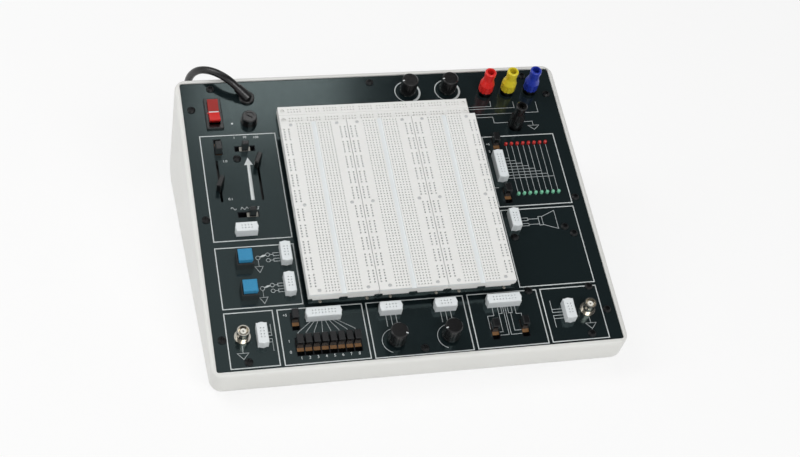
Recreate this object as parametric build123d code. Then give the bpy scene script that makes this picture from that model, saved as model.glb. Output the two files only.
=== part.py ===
from build123d import *
import math
import os

os.makedirs("parts", exist_ok=True)

# Digital logic trainer: a wedge-shaped moulded case with a sloping control panel.
# Lengths are in millimetres and angles in degrees. Most pieces are drawn in the panel's
# frame: u to the right, v up the slope, w square to the panel, with 0 on its upper face.

# ---------------------------------------------------------------- driving dimensions
# Case
panel_tilt = 21.0          # slope of the panel from the table
case_width = 334.0
case_length = 282.0        # along the slope, outside to outside
front_wall = 27.0          # height of the front wall, along w
case_wall = 3.0
side_edge_r = 10.0         # upright corners and the lower side edges
front_edge_r = 11.0        # lower front edge
rear_edge_r = 20.0         # lower rear edge
rim_rise = 1.0             # rim above the panel's face
rim_edge_r = 3.0
ledge_width = 5.0          # shelf that the panel lies on
ledge_depth = 4.0
boss_r = 4.0
boss_depth = 12.0
boss_web = 4.0             # rib that ties a boss to the wall

# Rubber feet
foot_height = 3.0
foot_r = 6.0
foot_taper = 0.8
foot_inset_x = 22.0
foot_inset_y = 20.0

# Panel
panel_width = 325.0
panel_length = 273.0
panel_thick = 2.0
panel_corner_r = 2.0
panel_gap = 0.25           # all round, between the panel and the rim

# Screws
screw_r = 1.5
screw_hole_gap = 0.2
screw_head_r = 3.3
screw_head_height = 2.0
screw_length = 9.0
recess_width = 0.9         # arms of the cross recess
recess_length = 3.6
recess_depth = 1.1

# Terminal blocks
pitch = 2.54               # spacing of the tie points
block_width = 22 * pitch
block_length = 65 * pitch
block_height = 8.5
block_edge = 0.5
blocks_centre = (-2.8, -2.3)
trough_width = 3.0
trough_depth = 2.5
notch_r = 4.0              # half-round notches in the end walls
notch_depth = 1.2
slot_width = 1.7           # mounting slots in the blocks
slot_length = 4.2
slot_depth = 3.0
slot_from_seam = 8.6
slot_from_end = 2.9

# Board plate
plate_thick = 1.5
plate_lift = 7.0           # clear height between the panel and the plate
plate_front_lip = 2.3
spacer_r = 3.0
spacer_inset = 9.0

# Bus strips above the blocks
bus_length = 164.0
bus_width = 9.2
bus_centre_u = -2.8
bus_front_v = 83.8
bus_screw_inset = 3.4

# Small sockets
socket_width = 8.3
socket_height = 8.5
short_socket_length = 17.0
long_socket_length = 27.0
socket_point = 1.2         # how far the pointed ends stand out
socket_edge = 0.4
short_sockets_level = [(-124.8, -13.15), (-21.95, -94.5), (22.45, -95.0)]
short_sockets_upright = [(-96.95, -37.8), (-97.7, -65.9), (-125.05, -109.05), (122.05, -109.1), (96.55, -20.45)]
long_sockets_level = [(-75.5, -94.7), (70.25, -95.2)]
long_sockets_upright = [(95.95, 33.5)]

# Power rocker
rocker_centre = (-137.6, 103.8)
bezel_width = 14.2
bezel_length = 31.5
bezel_height = 2.2
rocker_width = 8.8
rocker_length = 23.0
rocker_side_gap = 0.3
rocker_end_gap = 0.6
rocker_facet = 15.0        # each half of the rocker rises by this from its middle
rocker_rest = 6.0          # tilt at rest, with the upper end down
rocker_pivot_w = 1.0
rocker_middle_w = 3.4      # top of the rocker at its middle, when level
rocker_skirt = 4.0
rocker_pin_r = 1.2
rocker_body_depth = 20.0
rocker_wall = 1.3

# Fuse holder
fuse_centre = (-109.0, 95.0)
fuse_flange_r = 7.0
fuse_flange_height = 2.0
fuse_body_r = 6.0
fuse_body_depth = 34.0
fuse_cap_r = 6.2
fuse_cap_height = 5.6
fuse_plug_r = 4.2
fuse_plug_length = 8.0
fuse_fit = 0.08
fuse_slot_width = 1.0
fuse_slot_depth = 1.0
fuse_slot_length = 5.6
fuse_dish_r = 4.0           # shallow dish round the slot
fuse_dish_depth = 0.5
fuse_r = 2.5
fuse_length = 20.0
fuse_seat_gap = 0.2

# Rotary potentiometers and knobs
knob_centres = {
    "first_supply_knob": (31.5, 118.2),
    "second_supply_knob": (67.0, 118.0),
    "left_pot_knob": (-21.5, -121.5),
    "right_pot_knob": (22.0, -121.3),
}
pot_body_r = 8.0
bushing_r = 3.5
bushing_top = 6.0
nut_flats = 10.0
nut_height = 2.2
shaft_r = 2.9
shaft_fit = 0.08
shaft_bottom = -7.0
shaft_top = 13.5
knob_r = 7.35
knob_top_r = 6.9
knob_height = 15.0
knob_lift = 2.8            # knob above the panel
knob_recess_r = 6.2
knob_recess_depth = 4.2
knob_flutes = 18
knob_flute_r = 0.55

# Slide potentiometers
slide_pots = {"frequency_lever": (-140.5, 31.0), "amplitude_lever": (-107.3, 52.0)}
slide_slot_low = 16.0
slide_slot_high = 57.0
slide_slot_width = 2.0
slide_body_width = 9.0
slide_body_margin = 1.5    # pot body beyond each end of the slot
stem_thick = 1.2
stem_length = 4.0
stem_bottom = -5.5
slide_knob_lift = 1.5
slide_knob_width = 4.2
slide_knob_length = 11.0
slide_knob_height = 8.0
slide_knob_turn = -24.0    # the finger pads lie across the slot at this angle
slide_knob_edge = 0.8

# Slide switches: the upright ones slide along v, the two range switches along u
lever_width = 5.3
lever_length = 8.0
lever_height = 8.5
lever_edge = 0.6
shoe_length = 10.8         # brown phenolic slider under the lever
shoe_top = -0.6
shoe_bottom = -7.6
channel_length = 15.0
channel_side_gap = 0.15
channel_end_gap = 0.3
channel_floor = -8.2
housing_wall = 0.4
housing_collar = 0.35      # wall of the housing at each end of the channel
housing_foot = 2.2         # the housing is this much longer under the panel, at each end
housing_top = -0.3
window_gap = 0.15
logic_switch_count = 8
logic_switch_first = (-96.9, -119.9)
logic_switch_pitch = 6.43
upright_switches = {
    "hz_khz_lever": (-137.9, 70.2),
    "five_volt_lever": (-97.5, -97.6),
    "upper_indicator_lever": (98.5, 58.0),
    "lower_indicator_lever": (97.3, 6.0),
    "left_spdt_lever": (59.0, -119.9),
    "right_spdt_lever": (83.7, -119.4),
}
levers_at_lower_end = ["hz_khz_lever"]
across_switches = {"range_lever": (-116.0, 67.5), "waveform_lever": (-121.0, 3.0)}
across_lever_length = 4.0
across_lever_height = 9.5
across_shoe_width = 9.0
across_channel_width = 16.2

# Push buttons
button_centres = {"upper_button": (-130.0, -41.5), "lower_button": (-129.6, -69.5)}
button_housing_width = 13.4
button_housing_length = 12.8
button_housing_height = 8.0
button_neck = 0.7          # the part below the panel is smaller by this on each side
button_cap_width = 11.2
button_cap_length = 10.6
button_top = 13.0
button_cap_thick = 2.7
button_travel = 2.2
plunger_inset = 0.4
plunger_bottom = 4.2
plunger_gap = 0.2
pocket_floor = 1.5
button_edge = 0.6

# Binding posts
post_centres = {
    "red_post_cap": (100.3, 114.3),
    "yellow_post_cap": (120.4, 114.3),
    "blue_post_cap": (141.2, 114.3),
    "black_post_cap": (119.7, 77.0),
}
post_base_r = 6.5
post_base_height = 4.0
post_stud_r = 3.0
post_stud_top = 20.0
post_stud_bottom = -10.0
post_bore_r = 2.0
post_bore_bottom = 5.0
post_fit = 0.08
post_gap = 0.3             # between the closed cap and its base
post_skirt_r = 6.3
post_skirt_height = 8.2
post_cone_height = 6.0     # the skirt narrows to the waist over this
post_waist_r = 4.5
post_head_r = 4.9
post_head_height = 4.5
post_edge = 0.7
post_top = 28.0
post_ribs = 12
post_turn = 7.0            # angle at which each post and cap came to rest
post_rib_r = 0.6

# BNC sockets
bnc_centres = [(-140.0, -108.2), (138.5, -108.3)]
bnc_barrel_r = 4.8
bnc_end_height = 2.6        # plain end, above the lugs
bnc_groove_r = 4.5          # narrow groove below the plain end
bnc_groove_width = 0.6
bnc_height = 12.0
bnc_flange_r = 6.35
bnc_flange_height = 2.4
bnc_bore_r = 3.95
bnc_core_r = 2.3
bnc_contact_r = 0.9
bnc_lug_r = 1.0
bnc_lug_proud = 0.9
bnc_lug_w = 8.2

# Lamps
lamp_count = 8
lamp_pitch = 5.05
lamp_first_u = 107.0
red_lamp_v = 57.5
green_lamp_v = 6.5
lamp_r = 1.5
lamp_rise = 1.2            # straight part above the panel, under the dome
hole_gap = 0.1             # lamps, bushings and studs in their panel holes

# Inside
board_under = 11.0         # circuit board below the panel's face
board_thick = 1.6
board_side_gap = 15.0      # between the board and the case wall
board_front_v = -124.0
board_rear_v = 84.0
speaker_centre = (119.8, -61.0)
speaker_screw_pitch = 51.3
speaker_flange = 58.0
speaker_flange_thick = 1.2
speaker_cone_r = 26.0
speaker_neck_r = 14.0
speaker_cone_depth = 9.0
speaker_magnet_r = 17.0
speaker_magnet_depth = 7.0
speaker_room = 2.0         # circuit board kept clear of the speaker by this
core_size = (60.0, 22.0, 50.0)      # transformer laminations
coil_size = (38.0, 40.0, 32.0)      # windings round the middle leg
core_foot_thick = 2.0
core_foot_length = 10.0
transformer_place = (-60.0, 95.0)

# Cord
cord_r = 3.25
relief_flange_r = 6.5
relief_flange_height = 2.5
relief_body_r = 5.2
relief_depth = 14.0        # below the panel's face
relief_tip_r = 4.0
relief_lean = 64.0         # the boot leans this far from w
relief_heading = 140.0     # direction of the lean, from +u towards +v
relief_length = 11.0       # boot along its lean
relief_sunk = 1.5          # root of the boot inside the bushing
relief_centre = (-108.0, 119.0)
coil_centre = (-30.0, 203.0)
coil_mid_r = 32.5
coil_half_width = 9.75
coil_height = 18.5
plug_size = (36.0, 26.0, 22.0)
plug_neck_r = 6.5
plug_neck_length = 16.0
plug_edge = 4.0
blade_size = (16.0, 1.5, 6.35)
blade_spread = 12.7
earth_pin_r = 2.4
earth_pin_length = 20.0
earth_pin_rise = 6.0

# Panel screws, by their places on the panel
case_screws = [
    (-155.5, 109.0), (155.5, 109.0), (-137.5, 130.0), (137.5, 130.0), (0.0, 130.0),
    (-155.5, 0.0), (155.5, 0.0), (-155.5, -109.0), (155.5, -109.0),
    (-137.5, -129.5), (137.5, -129.5), (0.0, -130.0),
]
inner_screws = [(-123.5, 57.6), (124.4, 87.6), (139.2, -28.4)]

# ---------------------------------------------------------------- derived places
tilt = math.radians(panel_tilt)
half_width = case_width / 2
half_length = case_length / 2
hole_r = screw_r + screw_hole_gap
board_top = -board_under
board_half_width = half_width - case_wall - board_side_gap
blocks_w0 = plate_lift + plate_thick
blocks_top = blocks_w0 + block_height
lever_travel = channel_length - shoe_length - 2 * channel_end_gap
across_travel = across_channel_width - across_shoe_width - 2 * channel_end_gap
speaker_half = speaker_screw_pitch / 2
speaker_screws = [
    (speaker_centre[0] + su * speaker_half, speaker_centre[1] + sv * speaker_half)
    for su in (-1, 1) for sv in (-1, 1)
]


# ---------------------------------------------------------------- helpers
def block(u0, u1, v0, v1, w0, w1):
    """Box between two opposite corners."""
    centre = Pos((u0 + u1) / 2, (v0 + v1) / 2, (w0 + w1) / 2)
    return centre * Box(u1 - u0, v1 - v0, w1 - w0)


def slab(centre, width, length, w0, w1, corner_r=0.0):
    """Upright prism on a rectangle, which may have round corners."""
    outline = RectangleRounded(width, length, corner_r) if corner_r else Rectangle(width, length)
    return Pos(centre[0], centre[1], w0) * extrude(outline, w1 - w0)


def rod(centre, radius, w0, w1):
    return Pos(centre[0], centre[1], w0) * extrude(Circle(radius), w1 - w0)


def turned(centre, corners):
    """Solid of revolution about w from a list of (radius, height) corners."""
    outline = make_face(Polyline(*[(r, 0, h) for r, h in corners], close=True))
    return Pos(centre[0], centre[1], 0) * revolve(outline, Axis.Z)


def joined(shapes):
    """Pieces that stay separate solids in one node."""
    return [solid for shape in shapes for solid in shape.solids()]


def save(name, solids, place):
    """Write one node from its solids, moved to their place."""
    moved = [place * solid for solid in solids]
    shape = moved[0] if len(moved) == 1 else Compound(children=moved)
    export_step(shape, f"parts/{name}.step")


# ---------------------------------------------------------------- case
def underside(v):
    """Height w of the case's flat underside at v, which is level when the case stands."""
    return -front_wall - (v + half_length) * math.tan(tilt)


def wedge(inset, top):
    """The case's outer form up to the height top, drawn in by inset on every face."""
    end = half_length - inset
    lift = inset / math.cos(tilt)
    front_low = (-end, underside(-end) + lift)
    rear_low = (end, underside(end) + lift)
    with BuildPart() as form:
        with BuildSketch(Plane.YZ) as side:
            with BuildLine():
                Polyline((-end, top), (end, top), rear_low, front_low, close=True)
            make_face()
            fillet(side.vertices().sort_by_distance(rear_low)[0], rear_edge_r - inset)
            fillet(side.vertices().sort_by_distance(front_low)[0], front_edge_r - inset)
        extrude(amount=half_width - inset, both=True)
        flanks = [
            edge for edge in form.edges()
            if abs(abs(edge.center().X) - (half_width - inset)) < 0.01 and edge.center().Z < top - 0.01
        ]
        fillet(flanks, side_edge_r - inset)
    return form.part


def case_tub():
    top = rim_rise
    seat = -panel_thick
    body = wedge(0.0, top)
    rim = body.faces().sort_by(Axis.Z)[-1].edges()
    body = fillet(rim, rim_edge_r)
    shelf = seat - ledge_depth
    body -= wedge(case_wall, shelf)
    opening = (panel_width - 2 * ledge_width, panel_length - 2 * ledge_width)
    body -= slab((0, 0), opening[0], opening[1], shelf - 0.5, top, panel_corner_r + ledge_width)
    gap = 2 * panel_gap
    body -= slab((0, 0), panel_width + gap, panel_length + gap, seat, top + 1, panel_corner_r)
    bosses = None
    for u, v in case_screws:
        boss = rod((u, v), boss_r, seat - boss_depth, seat)
        reach = half_width - case_wall / 2 if abs(u) > panel_width / 2 - ledge_width - boss_r else 0
        if reach:
            side = math.copysign(reach, u)
            web = block(min(u, side), max(u, side), v - boss_web / 2, v + boss_web / 2, seat - boss_depth, seat)
        else:
            side = math.copysign(half_length - case_wall / 2, v)
            web = block(u - boss_web / 2, u + boss_web / 2, min(v, side), max(v, side), seat - boss_depth, seat)
        boss += web
        bosses = boss if bosses is None else bosses + boss
    body += bosses
    for centre in case_screws:
        body -= rod(centre, screw_r, seat - screw_length, seat)
    return body


tub = case_tub()
origin_z = foot_height + half_length * math.sin(tilt) + front_wall * math.cos(tilt)
upright = (Rot(panel_tilt, 0, 0) * tub).bounding_box()
origin_y = -(upright.min.Y + upright.max.Y) / 2
slope = Location((0, origin_y, origin_z), (panel_tilt, 0, 0))
level = Location((0, 0, 0))


def on_slope(u, v, w):
    """World place of a point given in the panel's frame."""
    y = origin_y + v * math.cos(tilt) - w * math.sin(tilt)
    z = origin_z + v * math.sin(tilt) + w * math.cos(tilt)
    return (u, y, z)


def case_feet():
    front_y = on_slope(0, -half_length, -front_wall)[1] + foot_inset_y
    rear_y = on_slope(0, half_length, underside(half_length))[1] - foot_inset_y - rear_edge_r
    side_x = half_width - foot_inset_x
    low_r = foot_r - foot_taper
    return joined([
        turned((x, y), [(0, 0), (low_r, 0), (foot_r, foot_height), (0, foot_height)])
        for x in (-side_x, side_x) for y in (front_y, rear_y)
    ])


# ---------------------------------------------------------------- screws
def screw(centre, seat, length):
    """Pan-head screw with a cross recess, its head seated at the height seat."""
    top = seat + screw_head_height
    body = turned(centre, [
        (0, seat - length), (screw_r, seat - length), (screw_r, seat), (screw_head_r, seat),
        (screw_head_r, seat + 0.35 * screw_head_height), (0.6 * screw_head_r, top), (0, top),
    ])
    u, v = centre
    for half_u, half_v in ((recess_length / 2, recess_width / 2), (recess_width / 2, recess_length / 2)):
        body -= block(u - half_u, u + half_u, v - half_v, v + half_v, top - recess_depth, top + 1)
    return body


def panel_screws():
    short = panel_thick + speaker_flange_thick + 1
    screws = [screw(centre, 0, panel_thick + screw_length - 1) for centre in case_screws]
    screws += [screw(centre, 0, short) for centre in inner_screws + speaker_screws]
    return joined(screws)


# ---------------------------------------------------------------- terminal blocks
def terminal_block(centre_u):
    """Solderless terminal block: trough, end notches and mounting slots."""
    u, v = centre_u, blocks_centre[1]
    half_u = block_width / 2
    half_v = block_length / 2
    body = slab((u, v), block_width, block_length, blocks_w0, blocks_top)
    body = chamfer(body.faces().sort_by(Axis.Z)[-1].edges(), block_edge)
    body -= block(u - trough_width / 2, u + trough_width / 2, v - half_v - 1, v + half_v + 1,
                  blocks_top - trough_depth, blocks_top + 1)
    notch = extrude(Plane.XZ * Circle(notch_r), half_v + 1, both=True)
    notch &= block(-notch_r, notch_r, half_v - notch_depth, half_v + 1, -notch_r, notch_r)
    body -= Pos(u, v, blocks_w0) * notch
    body -= Pos(u, v, blocks_w0) * mirror(notch, Plane.XZ)
    slot = extrude(Rot(0, 0, 90) * SlotOverall(slot_length, slot_width), slot_depth + 1)
    for side in (-1, 1):
        for along in (-1, 0, 1):
            slot_u = u + side * (half_u - slot_from_seam)
            slot_v = v + along * (half_v - slot_from_end - slot_length / 2 + 2)
            body -= Pos(slot_u, slot_v, blocks_top - slot_depth) * slot
    return body


def bus_strip(row):
    """One of the two bus strips above the blocks, with its mounting screw recesses."""
    v = bus_front_v + (row + 0.5) * bus_width
    body = slab((bus_centre_u, v), bus_length, bus_width, 0, block_height)
    body = chamfer(body.faces().sort_by(Axis.Z)[-1].edges(), block_edge)
    for side in (-1, 1):
        u = bus_centre_u + side * (bus_length / 2 - bus_screw_inset)
        body -= rod((u, v), slot_width, block_height - slot_depth, block_height + 1)
    return body


def small_socket(centre, length, upright_one):
    """Small socket strip with pointed ends."""
    half = length / 2
    side = socket_width / 2
    outline = make_face(Polyline(
        (-half, -side), (half, -side), (half + socket_point, 0), (half, side),
        (-half, side), (-half - socket_point, 0), close=True))
    body = extrude(outline, socket_height)
    body = chamfer(body.faces().sort_by(Axis.Z)[-1].edges(), socket_edge)
    return Pos(centre[0], centre[1], 0) * Rot(0, 0, 90 if upright_one else 0) * body


def sockets(length, level_ones, upright_ones):
    pieces = [small_socket(centre, length, False) for centre in level_ones]
    pieces += [small_socket(centre, length, True) for centre in upright_ones]
    return joined(pieces)


def plate_outline():
    """Corners of the board plate: u0, u1, v0, v1."""
    u, v = blocks_centre
    half_u = 1.5 * block_width
    half_v = block_length / 2
    return u - half_u, u + half_u, v - half_v - plate_front_lip, v + half_v


def spacer_places():
    u0, u1, v0, v1 = plate_outline()
    middle_v = (v0 + v1) / 2
    return [(u, v) for u in (u0 + spacer_inset, (u0 + u1) / 2 - spacer_inset, u1 - spacer_inset)
            for v in (v0 + spacer_inset, middle_v, v1 - spacer_inset)]


def board_plate():
    u0, u1, v0, v1 = plate_outline()
    body = block(u0, u1, v0, v1, plate_lift, blocks_w0)
    return body


def plate_spacers():
    return joined([rod(centre, spacer_r, 0, plate_lift) for centre in spacer_places()])


# ---------------------------------------------------------------- power rocker
def rocker_frame():
    """Black bezel with its box below the panel, open at the top for the rocker."""
    u, v = rocker_centre
    open_width = rocker_width + 2 * rocker_side_gap
    open_length = rocker_length + 2 * rocker_end_gap
    bezel = slab(rocker_centre, bezel_width, bezel_length, 0, bezel_height, 1.0)
    bezel = chamfer(bezel.faces().sort_by(Axis.Z)[-1].edges(), 0.6)
    box = slab(rocker_centre, open_width + 2 * rocker_wall, open_length + 2 * rocker_wall,
               -rocker_body_depth, 0)
    body = bezel + box
    body -= slab(rocker_centre, open_width, open_length, rocker_wall - rocker_body_depth, bezel_height + 1)
    hole = Plane.YZ * Circle(rocker_pin_r + fuse_fit)
    body -= Pos(u, v, rocker_pivot_w) * extrude(hole, open_width / 2 + rocker_wall, both=True)
    return body


def power_rocker():
    """Red rocker with two rising halves, on a pin across the bezel."""
    half = rocker_length / 2
    rise = half * math.tan(math.radians(rocker_facet))
    middle = rocker_middle_w - rocker_pivot_w
    outline = make_face(Plane.YZ * Polyline(
        (-half, middle + rise), (0, middle), (half, middle + rise), (half, middle + rise - 1.5),
        (0.55 * half, -rocker_skirt), (-0.55 * half, -rocker_skirt), (-half, middle + rise - 1.5), close=True))
    body = extrude(outline, rocker_width / 2, both=True)
    pin = extrude(Plane.YZ * Circle(rocker_pin_r), rocker_width / 2 + rocker_side_gap + rocker_wall / 2, both=True)
    place = Pos(rocker_centre[0], rocker_centre[1], rocker_pivot_w)
    return place * Rot(-rocker_rest, 0, 0) * (body + pin)


# ---------------------------------------------------------------- fuse
def fuse_holder():
    low = -fuse_body_depth
    bore = fuse_plug_r + fuse_fit
    step = fuse_flange_height - fuse_plug_length - fuse_seat_gap
    tube = fuse_r + fuse_seat_gap
    floor = step - fuse_length
    return turned(fuse_centre, [
        (0, low), (fuse_body_r, low), (fuse_body_r, 0), (fuse_flange_r, 0),
        (fuse_flange_r, fuse_flange_height), (bore, fuse_flange_height), (bore, step), (tube, step),
        (tube, floor), (0, floor),
    ])


def fuse_cap():
    base = fuse_flange_height + fuse_seat_gap
    top = base + fuse_cap_height
    body = turned(fuse_centre, [
        (0, base - fuse_plug_length), (fuse_plug_r, base - fuse_plug_length), (fuse_plug_r, base),
        (fuse_cap_r, base), (fuse_cap_r, top - 0.8), (fuse_cap_r - 0.8, top), (0, top),
    ])
    floor = top - fuse_dish_depth
    body -= rod(fuse_centre, fuse_dish_r, floor, top + 1)
    slot = Box(fuse_slot_length, fuse_slot_width, 2 * fuse_slot_depth)
    return body - Pos(fuse_centre[0], fuse_centre[1], floor) * Rot(0, 0, -35) * slot


def cartridge_fuse():
    top = fuse_flange_height - fuse_plug_length - fuse_seat_gap
    return rod(fuse_centre, fuse_r, top - fuse_length, top)


# ---------------------------------------------------------------- potentiometers
def rotary_pots():
    pieces = []
    for centre in knob_centres.values():
        inner = shaft_r + shaft_fit
        body = turned(centre, [
            (0, board_top), (pot_body_r, board_top), (pot_body_r, -panel_thick), (bushing_r, -panel_thick),
            (bushing_r, bushing_top), (inner, bushing_top), (inner, shaft_bottom - 0.3), (0, shaft_bottom - 0.3),
        ])
        nut = extrude(RegularPolygon(nut_flats / 2, 6, major_radius=False) - Circle(bushing_r), nut_height)
        pieces += [body, Pos(centre[0], centre[1], 0) * nut]
    return joined(pieces)


def knob(centre):
    """Fluted knob on its potentiometer's shaft."""
    top = knob_lift + knob_height
    body = turned(centre, [
        (knob_recess_r, knob_lift), (knob_r, knob_lift), (knob_r, knob_lift + 2), (knob_top_r, top - 0.8),
        (knob_top_r - 0.8, top), (0, top), (0, shaft_top), (shaft_r, shaft_top),
        (shaft_r, knob_lift + knob_recess_depth), (knob_recess_r, knob_lift + knob_recess_depth),
    ])
    for i in range(knob_flutes):
        turn = math.radians(360 * i / knob_flutes)
        place = (centre[0] + knob_r * math.cos(turn), centre[1] + knob_r * math.sin(turn))
        body -= rod(place, knob_flute_r, knob_lift + 2, top - 1.2)
    return joined([body, rod(centre, shaft_r, shaft_bottom, shaft_top)])


def slide_slot_middle():
    return (slide_slot_low + slide_slot_high) / 2


def slide_pot_bodies():
    pieces = []
    for u, _ in slide_pots.values():
        middle = (u, slide_slot_middle())
        slot = slide_slot_high - slide_slot_low
        body = slab(middle, slide_body_width, slot + 2 * slide_body_margin, board_top, -panel_thick)
        body -= slab(middle, slide_slot_width, slot, stem_bottom - 1, 0)
        pieces.append(body)
    return joined(pieces)


def slide_lever(centre):
    """Steel stem with its black finger pad."""
    stem = slab(centre, stem_thick, stem_length, stem_bottom, slide_knob_lift)
    outline = Rot(0, 0, slide_knob_turn) * RectangleRounded(slide_knob_width, slide_knob_length, 1.2)
    pad = Pos(centre[0], centre[1], slide_knob_lift) * extrude(outline, slide_knob_height)
    pad = fillet(pad.faces().sort_by(Axis.Z)[-1].edges(), slide_knob_edge)
    return joined([stem, pad])


# ---------------------------------------------------------------- slide switches
def switch_housing(centre, width, length, foot_u, foot_v):
    """Steel housing under the panel with a collar up into the panel's window."""
    low = slab(centre, width + 2 * housing_wall + 2 * foot_u, length + 2 * housing_collar + 2 * foot_v,
               board_top, -panel_thick)
    collar = slab(centre, width + 2 * housing_wall, length + 2 * housing_collar, -panel_thick, housing_top)
    return low + collar - slab(centre, width, length, channel_floor, 0)


def upright_channel():
    return lever_width + 2 * channel_side_gap, channel_length


def across_channel():
    return across_channel_width, across_lever_length + 2 * channel_side_gap + 0.4


def logic_switch_places():
    u0, v0 = logic_switch_first
    return [(u0 + i * logic_switch_pitch, v0) for i in range(logic_switch_count)]


def switch_frames():
    width, length = upright_channel()
    places = logic_switch_places() + list(upright_switches.values())
    pieces = [switch_housing(centre, width, length, 0, housing_foot) for centre in places]
    width, length = across_channel()
    pieces += [switch_housing(centre, width, length, housing_foot, 0) for centre in across_switches.values()]
    return joined(pieces)


def upright_lever(centre, end=1):
    """Black lever on its brown slider, at the upper (1) or lower (-1) end of the channel."""
    u, v = centre
    stop = channel_length / 2 - channel_end_gap
    shoe = slab((u, v + end * (stop - shoe_length / 2)), lever_width, shoe_length, shoe_bottom, shoe_top)
    lever = slab((u, v + end * (stop - lever_length / 2)), lever_width, lever_length, shoe_top, lever_height)
    lever = chamfer(lever.faces().sort_by(Axis.Z)[-1].edges(), lever_edge)
    return joined([shoe, lever])


def across_lever(centre, shift):
    """Black lever on its slider, in a channel that runs along u."""
    u, v = centre[0] + shift, centre[1]
    half_v = across_lever_length / 2 + 0.2
    shoe = block(u - across_shoe_width / 2, u + across_shoe_width / 2, v - half_v, v + half_v,
                 shoe_bottom, shoe_top)
    lever = slab((u, v), lever_width, across_lever_length, shoe_top, across_lever_height)
    lever = chamfer(lever.faces().sort_by(Axis.Z)[-1].edges(), lever_edge)
    return joined([shoe, lever])


# ---------------------------------------------------------------- push buttons
def button_housings():
    pieces = []
    for centre in button_centres.values():
        body = slab(centre, button_housing_width, button_housing_length, 0, button_housing_height)
        body = chamfer(body.faces().sort_by(Axis.Z)[-1].edges(), button_edge)
        body += slab(centre, button_housing_width - 2 * button_neck, button_housing_length - 2 * button_neck,
                     board_top, 0)
        room = 2 * (plunger_inset - plunger_gap)
        body -= slab(centre, button_cap_width - room, button_cap_length - room,
                     pocket_floor, button_housing_height + 1)
        pieces.append(body)
    return joined(pieces)


def button_cap(centre):
    """Blue cap on its black plunger."""
    joint = button_top - button_cap_thick
    plunger = slab(centre, button_cap_width - 2 * plunger_inset, button_cap_length - 2 * plunger_inset,
                   plunger_bottom, joint)
    cap = slab(centre, button_cap_width, button_cap_length, joint, button_top)
    cap = chamfer(cap.faces().sort_by(Axis.Z)[-1].edges(), button_edge)
    return joined([plunger, cap])


# ---------------------------------------------------------------- binding posts
def post_bases():
    """Insulating collars and the metal studs that carry the caps."""
    outer = post_stud_r + post_fit
    collar = turned((0, 0), [
        (outer, 0), (post_base_r, 0), (post_base_r, post_base_height - 1.2),
        (post_base_r - 1.2, post_base_height), (outer, post_base_height),
    ])
    stud = turned((0, 0), [
        (0, post_stud_bottom), (post_stud_r, post_stud_bottom), (post_stud_r, post_stud_top),
        (post_bore_r, post_stud_top), (post_bore_r, post_bore_bottom), (0, post_bore_bottom),
    ])
    nut = extrude(RegularPolygon(nut_flats / 2, 6, major_radius=False) - Circle(outer), nut_height)
    nut = Pos(0, 0, -panel_thick - nut_height) * nut
    spots = [Pos(u, v, 0) * Rot(0, 0, post_turn) for u, v in post_centres.values()]
    return joined([spot * piece for spot in spots for piece in (collar, stud, nut)])


def post_cap(centre):
    """Screw cap with a ribbed skirt, a waist and an open mouth for a plug."""
    low = post_base_height + post_gap
    inner = post_stud_r + post_fit
    shoulder = low + post_skirt_height
    waist = shoulder + post_cone_height
    neck = post_top - post_head_height
    body = turned((0, 0), [
        (inner, low), (post_skirt_r, low), (post_skirt_r, shoulder), (post_waist_r, waist),
        (post_waist_r, neck), (post_head_r, neck + post_edge), (post_head_r, post_top - post_edge),
        (post_head_r - post_edge, post_top), (inner, post_top),
    ])
    for i in range(post_ribs):
        turn = math.radians(360 * i / post_ribs)
        place = (post_skirt_r * math.cos(turn), post_skirt_r * math.sin(turn))
        body -= rod(place, post_rib_r, low - 1, shoulder)
    return Pos(centre[0], centre[1], 0) * Rot(0, 0, post_turn) * body


# ---------------------------------------------------------------- BNC sockets and lamps
def bnc_sockets():
    """Coaxial sockets, each with a flange on the panel and two bayonet lugs."""
    pieces = []
    end_low = bnc_height - bnc_end_height
    groove_low = end_low - bnc_groove_width
    for centre in bnc_centres:
        body = turned(centre, [
            (0, board_top), (bnc_barrel_r, board_top), (bnc_barrel_r, 0), (bnc_flange_r, 0),
            (bnc_flange_r, bnc_flange_height), (bnc_barrel_r, bnc_flange_height), (bnc_barrel_r, groove_low),
            (bnc_groove_r, groove_low), (bnc_groove_r, end_low), (bnc_barrel_r, end_low),
            (bnc_barrel_r, bnc_height), (bnc_bore_r, bnc_height), (bnc_bore_r, bnc_flange_height),
            (bnc_core_r, bnc_flange_height), (bnc_core_r, bnc_height - 1),
            (bnc_contact_r, bnc_height - 1), (bnc_contact_r, bnc_flange_height), (0, bnc_flange_height),
        ])
        reach = bnc_barrel_r + bnc_lug_proud
        lugs = extrude(Plane.YZ * Circle(bnc_lug_r), reach, both=True)
        lugs -= extrude(Plane.YZ * Circle(2 * bnc_lug_r), (bnc_bore_r + bnc_barrel_r) / 2, both=True)
        body += Pos(centre[0], centre[1], bnc_lug_w) * Rot(0, 0, 35) * lugs
        pieces.append(body)
    return joined(pieces)


def lamp_places(v):
    return [(lamp_first_u + i * lamp_pitch, v) for i in range(lamp_count)]


def lamps(v):
    """Row of round lamps, each standing on the circuit board."""
    pieces = []
    for centre in lamp_places(v):
        stem = rod(centre, lamp_r, board_top, lamp_rise)
        dome = Pos(centre[0], centre[1], lamp_rise) * Sphere(lamp_r)
        dome &= block(centre[0] - lamp_r, centre[0] + lamp_r, v - lamp_r, v + lamp_r, lamp_rise, lamp_rise + lamp_r)
        pieces.append(stem + dome)
    return joined(pieces)


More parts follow.
